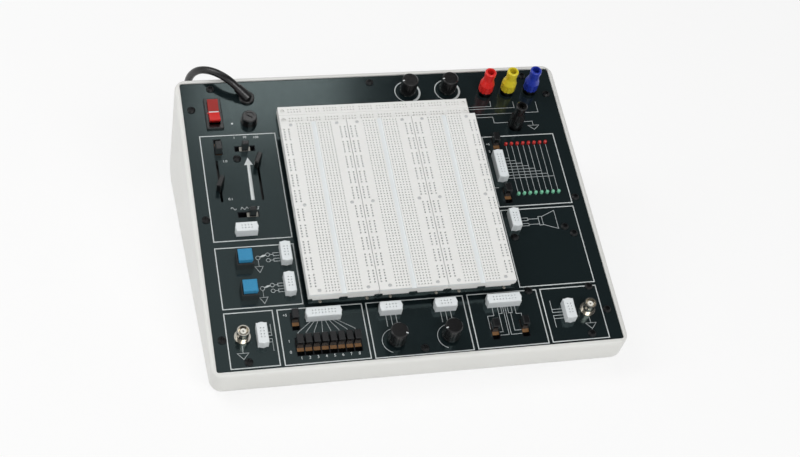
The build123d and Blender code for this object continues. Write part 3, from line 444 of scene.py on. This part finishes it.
def sink_holes(sheet, spots, mouth, throat, depth, slot):
    """Square tie points with a chamfered mouth, in the cells that have a spot at their middle.

    The floors of the holes get the material in a slot.
    """
    step = PITCH / 4
    near = {(round(x / step), round(y / step)) for x, y in spots}
    pick(sheet, lambda face, middle: (round(middle.x / step), round(middle.y / step)) in near)
    chamfer = (mouth - throat) / 2
    bpy.ops.mesh.inset(thickness=(PITCH - mouth) / 2, use_individual=True)
    bpy.ops.mesh.inset(thickness=chamfer, depth=-chamfer, use_individual=True)
    bpy.ops.mesh.extrude_region_move(TRANSFORM_OT_translate={"value": (0, 0, -depth)})
    bpy.context.object.active_material_index = slot
    bpy.ops.object.material_slot_assign()


def wall_up(sheet, size, edge, height, top):
    """Chamfer round the sheet's border, then walls down and a closed underside."""
    pick(sheet, lambda border, middle: border.is_boundary, "EDGE")
    bpy.ops.mesh.extrude_region_move(TRANSFORM_OT_translate={"value": (0, 0, -edge)})
    wider = [1 + 2 * edge / (length - 2 * edge) for length in size]
    bpy.ops.transform.resize(value=(*wider, 1), center_override=(0, 0, top - edge))
    bpy.ops.mesh.extrude_region_move(TRANSFORM_OT_translate={"value": (0, 0, edge - height)})
    bpy.ops.mesh.edge_face_add()
    bpy.ops.mesh.select_all(action="SELECT")
    bpy.ops.mesh.normals_make_consistent(inside=False)
    end_edit()


def block_u(column):
    """Place of a column of tie points across a block, from its middle."""
    return column * PITCH - BLOCK_SIZE[0] / 2


def block_v(row):
    """Place of a row of tie points along a block, from its middle."""
    return (row + 0.5 - ROWS / 2) * PITCH


def block_middle(block):
    """Place of a block's middle along u; the left block is 0."""
    return BLOCK_MIDDLE[0] + (block - 1) * BLOCK_SIZE[0]


def mount_spots():
    """Middles of a block's six mounting holes, from its own middle."""
    half_u, half_v = BLOCK_SIZE[0] / 2, BLOCK_SIZE[1] / 2
    return [(side * (half_u - MOUNT_INSET[0]), along * (half_v - MOUNT_INSET[1]))
            for side in (-1, 1) for along in (-1, 0, 1)]


def box_at(centre, size, name="box"):
    bpy.ops.mesh.primitive_cube_add(size=1)
    box = bpy.context.active_object
    box.name = name
    box.data.transform(Matrix.Translation(centre) @ Matrix.Diagonal((*size, 1)))
    return box


def rod_at(centre, radius, length, sides, upright=True, name="rod"):
    """A round rod along w, or along v when it isn't upright."""
    bpy.ops.mesh.primitive_cylinder_add(vertices=sides, radius=radius, depth=length)
    rod = bpy.context.active_object
    rod.name = name
    turn = Matrix.Rotation(0 if upright else math.pi / 2, 4, "X")
    rod.data.transform(Matrix.Translation(centre) @ turn)
    return rod


def carve(item, cutters):
    """Cut other shapes out of a piece and throw them away."""
    cutter = join(cutters, "cutter")
    modify(item, "BOOLEAN", operation="DIFFERENCE", object=cutter, solver="EXACT")
    bpy.data.objects.remove(cutter)


def terminal_block():
    """One block with its tie points, channel, notches and mounting holes."""
    whole = (BLOCK_SIZE[0] - BLOCK_GAP, BLOCK_SIZE[1])
    holes = [(block_u(c), block_v(r)) for c in field_columns for r in range(ROWS)]
    bus_holes = [(block_u(c), block_v(r)) for c in bus_columns for r in bus_rows]
    half = PITCH / 2
    cell_sides = {round(block_u(c) + side * half, 3)
                  for c in field_columns + bus_columns for side in (-1, 1)}
    cuts_x = sorted(x for x in cell_sides if abs(x) < BLOCK_SIZE[0] / 2 - BLOCK_EDGE)
    cuts_y = [block_v(r) - half for r in range(ROWS + 1)]
    size = (whole[0] - 2 * BLOCK_EDGE, whole[1] - 2 * BLOCK_EDGE)
    sheet = cut_sheet(size, BLOCK_TOP, cuts_x, cuts_y)
    named(sheet, "terminal_block", block_nylon, clip_bronze, bus_hole)
    sink_holes(sheet, holes, mouth=1.35, throat=0.95, depth=1.2, slot=1)
    sink_holes(sheet, bus_holes, mouth=1.6, throat=1.2, depth=1.6, slot=2)
    wall_up(sheet, whole, BLOCK_EDGE, BLOCK_TOP - BLOCK_W0, BLOCK_TOP)
    cutters = [box_at((0, 0, BLOCK_TOP), (CHANNEL_WIDTH, BLOCK_SIZE[1] + 2, 2 * CHANNEL_DEPTH))]
    for end in (-1, 1):
        for across in (-1, 0, 1):
            notch = (across * BLOCK_SIZE[0] / 2, end * BLOCK_SIZE[1] / 2, BLOCK_W0)
            cutters.append(rod_at(notch, NOTCH_RADIUS, HOLE_CUT, 24, upright=False))
    for u, v in mount_spots():
        cutters.append(rod_at((u, v, BLOCK_TOP), MOUNT_HOLE_RADIUS, HOLE_CUT, 16))
    carve(sheet, cutters)
    return sheet


pattern_block = terminal_block()
for index, name in enumerate(("left", "middle", "right")):
    place = (block_middle(index), BLOCK_MIDDLE[1], 0)
    twin = set_down(copy_of(pattern_block, f"{name}_block_body", place),
                    stands_for=[f"{name}_terminal_block"])
bpy.data.objects.remove(pattern_block)

# Screws down in the blocks' mounting holes, each with its slot at another angle
SCREW_RADIUS, SCREW_LENGTH, SCREW_DOWN = 1.35, 0.9, 0.8
SCREW_TURN, SCREW_TURN_STEP = 0.7, 0.9
SLOT_MIDDLE, SLOT_SIZE = BLOCK_TOP - 0.1, (0.45, 4, 0.5)
mount_screw = rod_at((0, 0, BLOCK_TOP - SCREW_DOWN), SCREW_RADIUS, SCREW_LENGTH, 16,
                     name="block_screws")
start_edit(mount_screw)
pick(mount_screw, lambda face, middle: face.normal.z > 0.9)
bpy.ops.mesh.inset(thickness=0.3, depth=0.2)
end_edit()
carve(mount_screw, [box_at((0, 0, SLOT_MIDDLE), SLOT_SIZE)])
screws = []
for block in range(3):
    for u, v in mount_spots():
        place = (block_middle(block) + u, BLOCK_MIDDLE[1] + v, 0)
        turn = SCREW_TURN + SCREW_TURN_STEP * len(screws)
        screws.append(copy_of(mount_screw, "block_screw", place, turn))
bpy.data.objects.remove(mount_screw)
block_screws = set_down(join(screws, "block_screws", block_steel), smooth=30)


# ---------------------------------------------------------------- bus strips and small sockets
def strip(name, length, width, top, holes, edge, material, point=0.0):
    """A low moulded strip with tie points; its ends may come to a shallow point."""
    half = PITCH / 2
    cuts_x = sorted({round(x + side * half, 3) for x, _ in holes for side in (-1, 1)})
    cuts_y = sorted({round(y + side * half, 3) for _, y in holes for side in (-1, 1)} | {0.0})
    sheet = cut_sheet((length - 2 * edge, width - 2 * edge), top, cuts_x, cuts_y)
    named(sheet, name, material, clip_bronze)
    sink_holes(sheet, holes, mouth=1.25, throat=0.85, depth=1.2, slot=1)
    wall_up(sheet, (length, width), edge, top, top)
    if point:
        start_edit(sheet)
        outer = length / 2 - edge - 0.1
        for end in (-1, 1):
            pick(sheet, lambda corner, middle: abs(middle.y) < 0.01 and end * middle.x > outer,
                 "VERT")
            bpy.ops.transform.translate(value=(end * point, 0, 0))
        end_edit()
    return sheet


BUS_LENGTH, BUS_WIDTH, BUS_TOP, BUS_EDGE = 164.0, 9.2, 8.5, 0.4
BUS_LOWER_SIDE = 83.8        # the v at which the lower strip starts
BUS_HOLE_RADIUS, BUS_HOLE_INSET, BUS_HOLE_CUT = 1.9, 3.4, 3.0
# Ten groups of five columns, one column apart
bus_spots = [((group * 6 + i - 29) * PITCH, side * PITCH / 2)
             for group in range(10) for i in range(5) for side in (-1, 1)]
bus_bodies = []
for row in (0, 1):
    body = strip("bus_strip", BUS_LENGTH, BUS_WIDTH, BUS_TOP, bus_spots, BUS_EDGE, block_nylon)
    carve(body, [rod_at((end * (BUS_LENGTH / 2 - BUS_HOLE_INSET), 0, BUS_TOP),
                        BUS_HOLE_RADIUS, BUS_HOLE_CUT, 16) for end in (-1, 1)])
    bus_bodies.append(moved(body, (BLOCK_MIDDLE[0], BUS_LOWER_SIDE + (row + 0.5) * BUS_WIDTH, 0)))
bus_strips = set_down(join(bus_bodies, "bus_strip_bodies"), stands_for=["upper_bus_strips"])


SOCKET_WIDTH, SOCKET_TOP, SOCKET_EDGE, SOCKET_POINT = 8.3, 8.5, 0.5, 0.8
SMALL_SOCKET, LARGE_SOCKET = (17.0, 4), (27.0, 8)    # length, and columns of tie points
LOGIC_SOCKET = (-75.5, -94.7)
POT_SOCKETS = ((-21.95, -94.5), (22.45, -95.0))


def socket_set(name, kind, level_ones, upright_ones, node):
    """Sockets of one kind, with two rows of tie points, some level and some turned upright."""
    length, columns = kind
    holes = [((i - (columns - 1) / 2) * PITCH, side * PITCH / 2)
             for i in range(columns) for side in (-1, 1)]
    pattern = strip(name, length, SOCKET_WIDTH, SOCKET_TOP, holes, SOCKET_EDGE, socket_nylon,
                    SOCKET_POINT)
    twins = [copy_of(pattern, name, (*centre, 0)) for centre in level_ones]
    twins += [copy_of(pattern, name, (*centre, 0), math.pi / 2) for centre in upright_ones]
    bpy.data.objects.remove(pattern)
    piece = set_down(join(twins, name), stands_for=[node])


socket_set("small_socket_bodies", SMALL_SOCKET, [(-124.8, -13.15), *POT_SOCKETS],
           [(-96.95, -37.8), (-97.7, -65.9), (-125.05, -109.05), (122.05, -109.1), (96.55, -20.45)],
           "short_sockets")
socket_set("large_socket_bodies", LARGE_SOCKET, [LOGIC_SOCKET, (70.25, -95.2)], [(95.95, 33.5)],
           "long_sockets")

# ---------------------------------------------------------------- printing on the panel
INK = 0.06           # thickness of the print
INK_SINK = 0.01      # how far it reaches into the enamel
INK_SPREAD = 0.02    # how much bolder the numbers are than the font draws them
MITRE_LIMIT = 2.0    # how many times its width a line may have where it turns a corner


def ink_lines(name, lines, width, lift=0.0):
    """Printed lines through (u, v) points, or (u, v, share of the width) where the width varies.

    A line that ends where it starts is closed.
    """
    profile = bpy.data.curves.new(name + "_profile", "CURVE")
    edge = profile.splines.new("POLY")
    edge.points.add(3)
    for point, (x, y) in zip(edge.points, ((-1, -1), (1, -1), (1, 1), (-1, 1))):
        point.co = (x * width / 2, y * INK / 2, 0, 1)
    edge.use_cyclic_u = True
    profile_object = bpy.data.objects.new(name + "_profile", profile)
    scene.collection.objects.link(profile_object)
    curve = bpy.data.curves.new(name, "CURVE")
    curve.dimensions = "3D"
    curve.twist_mode = "Z_UP"
    for line in lines:
        closed = line[0] == line[-1]
        spots = [Vector((u, v)) for u, v, *_ in (line[:-1] if closed else line)]
        widths = [spot[2] if len(spot) > 2 else 1.0 for spot in line]
        spline = curve.splines.new("POLY")
        spline.points.add(len(spots) - 1)
        spline.use_cyclic_u = closed
        for i, spot in enumerate(spots):
            radius = widths[i]
            if closed or 0 < i < len(spots) - 1:
                before, after = spot - spots[i - 1], spots[(i + 1) % len(spots)] - spot
                radius /= max(math.cos(before.angle(after) / 2), 1 / MITRE_LIMIT)
            spline.points[i].co = (spot.x, spot.y, lift + INK / 2 - INK_SINK, 1)
            spline.points[i].radius = radius
    curve.bevel_mode = "OBJECT"
    curve.bevel_object = profile_object
    curve.use_fill_caps = True
    piece = bpy.data.objects.new(name, curve)
    scene.collection.objects.link(piece)
    make_active(piece)
    bpy.ops.object.convert(target="MESH")
    piece = bpy.context.active_object
    bpy.data.objects.remove(profile_object)
    start_edit(piece)
    bpy.ops.mesh.select_all(action="SELECT")
    bpy.ops.mesh.normals_make_consistent(inside=False)
    end_edit()
    return piece


def frame_line(u0, u1, v0, v1):
    """Corners of a closed rectangle."""
    return [(u0, v0), (u1, v0), (u1, v1), (u0, v1), (u0, v0)]


def arc(centre, radius, start, end, thin=1.0, thick=1.0, steps=20):
    """Points along an arc, in degrees; its line may swell from thin to thick."""
    points = []
    for i in range(steps + 1):
        turn = math.radians(start + (end - start) * i / steps)
        points.append((centre[0] + radius * math.cos(turn), centre[1] + radius * math.sin(turn),
                       thin + (thick - thin) * i / steps))
    return points


def triangle(centre, half, height):
    """Ground symbol: a hollow triangle that points down from the middle of its upper side."""
    u, v = centre
    return [(u - half, v), (u + half, v), (u, v - height), (u - half, v)]


section_frames = [
    frame_line(-151.6, -89.0, -21.0, 81.7), frame_line(-151.7, -89.2, -82.5, -27.3),
    frame_line(-151.6, -114.0, -134.2, -86.2), frame_line(-110.3, -43.5, -134.7, -86.4),
    frame_line(-40.0, 38.7, -135.1, -86.3), frame_line(42.5, 100.3, -134.8, -86.0),
    frame_line(103.8, 151.2, -134.3, -86.0), frame_line(87.9, 151.4, -82.6, -8.7),
    frame_line(87.6, 151.5, -5.2, 66.3),
]

LOGIC_FIRST, LOGIC_PITCH = -96.9, 6.43
COAXIAL_CENTRES = ((-140.0, -108.2), (138.5, -108.3))
BUTTON_ROWS = (-38.2, -66.2)
SUPPLY_KNOBS = ((31.5, 118.2), (67.0, 118.0))
wires = [
    # Supplies to the terminal blocks
    [(103.0, 104.0), (102.5, 98.4), (80.0, 98.4)], [(123.3, 102.5), (123.3, 96.0), (80.0, 96.0)],
    [(82.0, 90.2), (143.8, 90.2), (143.8, 101.5)],
    [(82.0, 87.0), (101.9, 87.0), (101.9, 80.6), (136.2, 80.6), (136.2, 76.2)],
    triangle((136.3, 76.2), 5.0, 4.4),
    # Speaker
    [(100.6, -17.5), (109.2, -17.5), (109.2, -20.2), (100.6, -20.2)],
    [(109.2, -18.9), (118.4, -18.9)],
    [(100.6, -22.9), (109.2, -22.9), (109.2, -25.2), (100.6, -25.2)],
    [(109.2, -24.1), (118.4, -24.1)],
    frame_line(118.4, 121.5, -25.3, -17.0),
    [(121.5, -17.2), (133.6, -11.8), (133.6, -29.8), (121.5, -25.0)],
    # Right coaxial socket
    [(109.6, -97.0), (109.6, -108.0), (118.0, -108.0)], [(109.6, -105.2), (118.0, -105.2)],
    [(118.0, -110.8), (109.6, -110.8), (109.6, -121.5)], [(109.6, -113.6), (118.0, -113.6)],
    # Left coaxial socket
    [(-117.2, -98.0), (-117.2, -108.0), (-121.0, -108.0)], [(-117.2, -105.2), (-121.0, -105.2)],
    [(-121.0, -110.8), (-117.2, -110.8), (-117.2, -121.5)], [(-117.2, -113.6), (-121.0, -113.6)],
    # Ground symbols below both
    triangle((-140.9, -121.4), 4.4, 5.2), [(-140.6, -115.0), (-140.9, -121.4)],
    triangle((139.0, -120.0), 4.4, 5.2), [(138.8, -115.0), (139.0, -120.0)],
    # First change-over switch
    [(60.8, -99.0), (60.8, -106.6), (55.5, -106.6), (55.5, -118.5)],
    [(65.2, -99.0), (65.2, -105.0)],
    [(68.0, -99.0), (68.0, -105.0), (65.2, -105.0), (65.2, -121.4), (62.4, -121.4)],
    [(69.6, -99.0), (69.6, -124.3), (62.4, -124.3)],
    # Second change-over switch
    [(71.4, -99.0), (71.4, -124.3), (80.3, -124.3)],
    [(73.4, -99.0), (73.4, -105.0), (76.4, -105.0), (76.4, -99.0)],
    [(75.0, -105.0), (75.0, -120.9), (80.3, -120.9)],
    [(79.4, -99.0), (79.4, -106.2), (83.6, -106.2), (83.6, -111.0)],
    # Dash beside the lower indicator switch
    [(87.6, 14.0), (91.4, 14.0)],
]
# Both potentiometers: three lines down from the socket and an arc round the knob
for socket_u, _ in POT_SOCKETS:
    for shift in (-4.0, 0.0, 4.0):
        wires.append([(socket_u + shift, -98.6), (socket_u + shift, -108.6)])
    wires.append(arc((socket_u, -121.4), radius=10.6, start=100, end=250))
# Logic switches: a fan of lines from their socket
FAN_PITCH = 2.9
for index in range(8):
    switch_u = LOGIC_FIRST + index * LOGIC_PITCH
    socket_u = LOGIC_SOCKET[0] + (index - 3.5) * FAN_PITCH
    wires.append([(socket_u, -98.6), (switch_u, -107.6), (switch_u, -111.0)])
# Change-over symbol of each button: common, two contacts and a fork to the socket
COMMON_U, CONTACT_U, FORK_U, SOCKET_SIDE_U = -118.8, -110.8, -106.4, -101.4
for row_v in BUTTON_ROWS:
    for contact_v in (row_v + 2.4, row_v - 2.8):
        upper, lower = contact_v + 1.3, contact_v - 1.3
        wires.append(arc((CONTACT_U, contact_v), 1.6, 0, 360))
        wires.append([(CONTACT_U + 1.6, contact_v), (FORK_U, contact_v)])
        wires.append([(SOCKET_SIDE_U, upper), (FORK_U, upper), (FORK_U, lower),
                      (SOCKET_SIDE_U, lower)])
    wires.append(arc((COMMON_U, row_v), 1.7, 0, 360))
    wires.append([(COMMON_U, row_v - 1.7), (COMMON_U, row_v - 8.0)])
    wires.append(triangle((COMMON_U, row_v - 8.0), 3.3, 5.6))
wire_lines = ink_lines("wire_lines", wires, width=0.5)

# Indicator lamps: a line from each red lamp to its green one, and one to the socket. They lie
# a hair higher than the other lines.
LAMP_FIRST, LAMP_PITCH = 107.0, 5.05
RED_ROW, GREEN_ROW, LAMP_CLEAR = 57.5, 6.5, 1.8
LAMP_LINE_FIRST, LAMP_LINE_PITCH, LAMP_LINE_START = 43.4, 2.95, 100.3
lamp_lines = []
for index in range(8):
    lamp_u = LAMP_FIRST + LAMP_PITCH * index
    lamp_lines.append([(lamp_u, RED_ROW - LAMP_CLEAR), (lamp_u, GREEN_ROW + LAMP_CLEAR)])
    row_v = LAMP_LINE_FIRST - LAMP_LINE_PITCH * index
    lamp_lines.append([(LAMP_LINE_START, row_v), (lamp_u, row_v)])
lamp_wire_lines = ink_lines("lamp_wire_lines", lamp_lines, width=0.4, lift=0.002)

# Swelling arcs round the supply knobs, and the tongues of the buttons' change-over symbols
bold = [arc(centre, radius=10.8, start=250, end=-70, thin=0.25, thick=1.6, steps=36)
        for centre in SUPPLY_KNOBS]
for row_v in BUTTON_ROWS:
    bold.append([(-117.3, row_v + 0.6, 0.5), (-114.5, row_v + 1.6, 1.4),
                 (-112.3, row_v + 2.2, 0.5)])
bold_lines = ink_lines("bold_lines", bold, width=1.3)
arrow = [(-115.5, 16.6, 1.1), (-114.9, 51.5, 0.95)]
arrow_shaft = ink_lines("arrow_shaft", [arrow], width=2.7)
frame_lines = ink_lines("frame_lines", section_frames, width=0.85)


def ink_shape(name, corners):
    """A filled printed shape with straight sides."""
    bpy.ops.mesh.primitive_circle_add(vertices=len(corners), fill_type="NGON")
    piece = bpy.context.active_object
    piece.name = name
    for vertex, (u, v) in zip(piece.data.vertices, corners):
        vertex.co = (u, v, -INK_SINK)
    start_edit(piece)
    bpy.ops.mesh.select_all(action="SELECT")
    bpy.ops.mesh.extrude_region_move(TRANSFORM_OT_translate={"value": (0, 0, INK)})
    bpy.ops.mesh.select_all(action="SELECT")
    bpy.ops.mesh.normals_make_consistent(inside=False)
    end_edit()
    return piece


def ink_number(text, u, v, size):
    """A printed number with its middle at (u, v)."""
    bpy.ops.object.text_add()
    piece = bpy.context.active_object
    piece.data.body = text
    piece.data.size = size
    piece.data.align_x = "CENTER"
    piece.data.align_y = "CENTER"
    piece.data.extrude = INK / 2
    piece.data.offset = INK_SPREAD
    make_active(piece)
    bpy.ops.object.convert(target="MESH")
    return moved(bpy.context.active_object, (u, v, INK / 2 - INK_SINK))


# The arrow's head, the dot beside the fuse and the numbers
shapes = [ink_shape("arrow_head", [(-118.5, 51.0), (-111.3, 51.0), (-114.8, 58.4)])]
shapes.append(rod_at((-123.3, 93.4, INK / 2 - INK_SINK), 0.9, INK, 16))
numbers = [("1", -123.4, 79.0, 3.2), ("10", -114.8, 79.0, 3.2), ("100", -105.6, 78.4, 3.2),
           ("1.0", -133.6, 55.8, 3.2), ("0.1", -133.4, 18.6, 3.2), ("1", -104.6, -114.5, 3.4),
           ("0", -104.6, -124.0, 3.4), ("+5", -104.8, -91.6, 3.2)]
numbers += [(str(index + 1), LOGIC_FIRST + index * LOGIC_PITCH, -129.6, 3.4) for index in range(8)]
numbers += [("+5", 91.4, 58.6, 3.0), ("5", 91.4, 51.0, 3.0)]
shapes += [ink_number(*entry) for entry in numbers]
# Wave symbols over the waveform switch: sine, triangle and square
waves = [
    [(-134.4 + 0.45 * i, 9.2 + 1.3 * math.sin(i * math.pi / 5)) for i in range(11)],
    [(-126.6, 8.0), (-125.4, 10.2), (-123.4, 7.8), (-121.4, 10.2), (-120.4, 8.6)],
    [(-117.4, 7.6), (-117.4, 10.0), (-114.9, 10.0), (-114.9, 7.6), (-112.4, 7.6), (-112.4, 10.0),
     (-111.4, 10.0)],
]
wave_lines = ink_lines("wave_lines", waves, width=0.55)
printing = [frame_lines, bold_lines, arrow_shaft] + shapes
panel_printing = set_down(join(printing, "panel_printing", white_ink))
thin_printing = [wire_lines, lamp_wire_lines, wave_lines]
thin_lines = set_down(join(thin_printing, "thin_printing", thin_ink))

# ---------------------------------------------------------------- small parts
# PTFE cores of the coaxial sockets, each round its contact
CORE_MIDDLE, CORE_RADIUS, CORE_BORE, CORE_LENGTH = 6.75, 2.34, 0.85, 8.6
cores = []
for u, v in COAXIAL_CENTRES:
    core = rod_at((u, v, CORE_MIDDLE), CORE_RADIUS, CORE_LENGTH, 24)
    carve(core, [rod_at((u, v, CORE_MIDDLE), CORE_BORE, 10, 12)])
    modify(core, "BEVEL", width=0.15, segments=1)
    cores.append(core)
socket_cores = set_down(join(cores, "socket_cores", ptfe), smooth=40)

# White line across the rocker's waist
WAIST_HEIGHT, WAIST_SIZE = 3.42, (8.2, 1.2, 0.5)
waist = box_at((0, 0, WAIST_HEIGHT), WAIST_SIZE, "rocker_waist_line")
modify(waist, "BEVEL", width=0.15, segments=2)
moved(waist, (*ROCKER_CENTRE, 0))
set_down(named(waist, "rocker_waist_line", white_ink), "power_rocker")

# White marks on the knobs' rims: each knob's centre and the heading of its mark in degrees
RIM_MARK_REACH, RIM_MARK_HEIGHT, RIM_MARK_SIZE = 6.1, 17.72, (1.9, 0.9, 0.3)
# On the supply knobs the marks are pointers; on the pot knobs they are painted highlights
knobs = {"first_supply_knob": (SUPPLY_KNOBS[0], 190), "second_supply_knob": (SUPPLY_KNOBS[1], 185),
         "left_pot_knob": ((-21.5, -121.5), 330), "right_pot_knob": ((22.0, -121.3), 195)}
for knob, (centre, heading) in knobs.items():
    mark = box_at((RIM_MARK_REACH, 0, RIM_MARK_HEIGHT), RIM_MARK_SIZE, knob + "_pointer")
    modify(mark, "BEVEL", width=0.08, segments=2)
    moved(mark, (*centre, 0), math.radians(heading))
    set_down(named(mark, knob + "_pointer", white_ink), knob)

# Tin domes on the front lip of the board plate, two below each block: painted highlights of
# reflected light
GLINT_DOME_SHIFT, GLINT_DOME_V, GLINT_DOME_FLATTEN = 18.6, -86.4, 0.4
glint_domes = []
for block in range(3):
    for side in (-1, 1):
        place = (block_middle(block) + side * GLINT_DOME_SHIFT, GLINT_DOME_V, BLOCK_W0)
        bpy.ops.mesh.primitive_uv_sphere_add(segments=16, ring_count=8, radius=1.4)
        glint_dome = bpy.context.active_object
        glint_dome.data.transform(Matrix.Translation(place) @ Matrix.Diagonal((1, 1, GLINT_DOME_FLATTEN, 1)))
        glint_domes.append(glint_dome)
lip_glint_domes = set_down(join(glint_domes, "lip_glint_domes", tin_steel), smooth=60)

# Hook-and-loop tie round the coil's left side: a rounded band, open through along y
TIE_SHIFT = -33.2
TIE_MIDDLE, TIE_SIZE = 9.7, (23.4, 9.0, 19.36)
OPENING_MIDDLE, OPENING_SIZE = 9.52, (21.4, 12.0, 18.76)
tie = box_at((0, 0, TIE_MIDDLE), TIE_SIZE, "coil_tie")
modify(tie, "BEVEL", width=2.6, segments=3, limit_method="ANGLE")
opening = box_at((0, 0, OPENING_MIDDLE), OPENING_SIZE, "tie_opening")
modify(opening, "BEVEL", width=2.4, segments=3, limit_method="ANGLE")
carve(tie, [opening])
moved(tie, (coil_centre[0] + TIE_SHIFT, coil_centre[1], 0))
set_down(named(tie, "coil_tie", tie_nylon), place=ON_TABLE, smooth=40)

# ---------------------------------------------------------------- floor and light
bpy.ops.mesh.primitive_plane_add(size=12)
pale_floor = surface("pale_floor", "#F6F6F5", "#F3F3F2", roughness=0.9, grain=30.0, bump=0.0)
floor = named(bpy.context.active_object, "floor", pale_floor)
# Seen by the camera or in a gloss, the floor goes this share of the way to white and keeps a
# pale shadow
FLOOR_WHITE = 0.8
studio = pale_floor.node_tree
ray = add_node(studio, "ShaderNodeLightPath", {})
seen = add_node(studio, "ShaderNodeMath", {
    0: ray.outputs["Is Camera Ray"], 1: ray.outputs["Is Glossy Ray"]}, operation="MAXIMUM")
seen = add_node(studio, "ShaderNodeMath", {
    0: seen.outputs["Value"], 1: ray.outputs["Is Transmission Ray"]}, operation="MAXIMUM")
share = add_node(studio, "ShaderNodeMath", {
    0: seen.outputs["Value"], 1: FLOOR_WHITE}, operation="MULTIPLY")
white = add_node(studio, "ShaderNodeEmission", {"Color": (1, 1, 1, 1), "Strength": 1.0})
mixed = add_node(studio, "ShaderNodeMixShader", {
    0: share.outputs["Value"], 1: studio.nodes["Principled BSDF"].outputs["BSDF"],
    2: white.outputs["Emission"]})
studio.links.new(mixed.outputs["Shader"], studio.nodes["Material Output"].inputs["Surface"])

# The sky is brightest at the horizon
world = bpy.data.worlds.new("studio")
world.use_nodes = True
scene.world = world
sky = world.node_tree
sky.nodes.clear()
heading = add_node(sky, "ShaderNodeTexCoord", {})
parts = add_node(sky, "ShaderNodeSeparateXYZ", {"Vector": heading.outputs["Generated"]})
height = add_node(sky, "ShaderNodeMapRange", {
    "Value": parts.outputs["Z"], "From Min": 0.0, "From Max": 0.9, "To Min": 0.85, "To Max": 0.1})
glow = add_node(sky, "ShaderNodeBackground", {
    "Color": (1, 1, 1, 1), "Strength": height.outputs["Result"]})
add_node(sky, "ShaderNodeOutputWorld", {"Surface": glow.outputs["Background"]})


def soft_box(name, place, target, size, watts):
    """A rectangular lamp that faces a point."""
    lamp = bpy.data.lights.new(name, "AREA")
    lamp.shape = "RECTANGLE"
    lamp.size, lamp.size_y = size
    lamp.energy = watts
    item = bpy.data.objects.new(name, lamp)
    item.location = place
    item.rotation_euler = (Vector(target) - Vector(place)).to_track_quat("-Z", "Y").to_euler()
    scene.collection.objects.link(item)


soft_box("key_box", place=(-1.0, 0.3, 1.5), target=(-0.1, 0.0, 0.0), size=(1.0, 1.1), watts=11)
soft_box("back_box", place=(0.16, 0.72, 1.6), target=(0.16, 0.3, 0.0), size=(0.28, 0.5), watts=1.5)
soft_box("top_box", place=(0.0, 0.2, 1.6), target=(0.0, 0.2, 0.0), size=(0.6, 0.6), watts=0.8)
soft_box("front_box", place=(0.3, -1.8, 1.4), target=(0.0, 0.0, 0.0), size=(1.4, 0.8), watts=22)
soft_box("side_box", place=(-1.8, -0.2, 0.9), target=(0.0, 0.0, 0.0), size=(0.9, 0.9), watts=2.5)
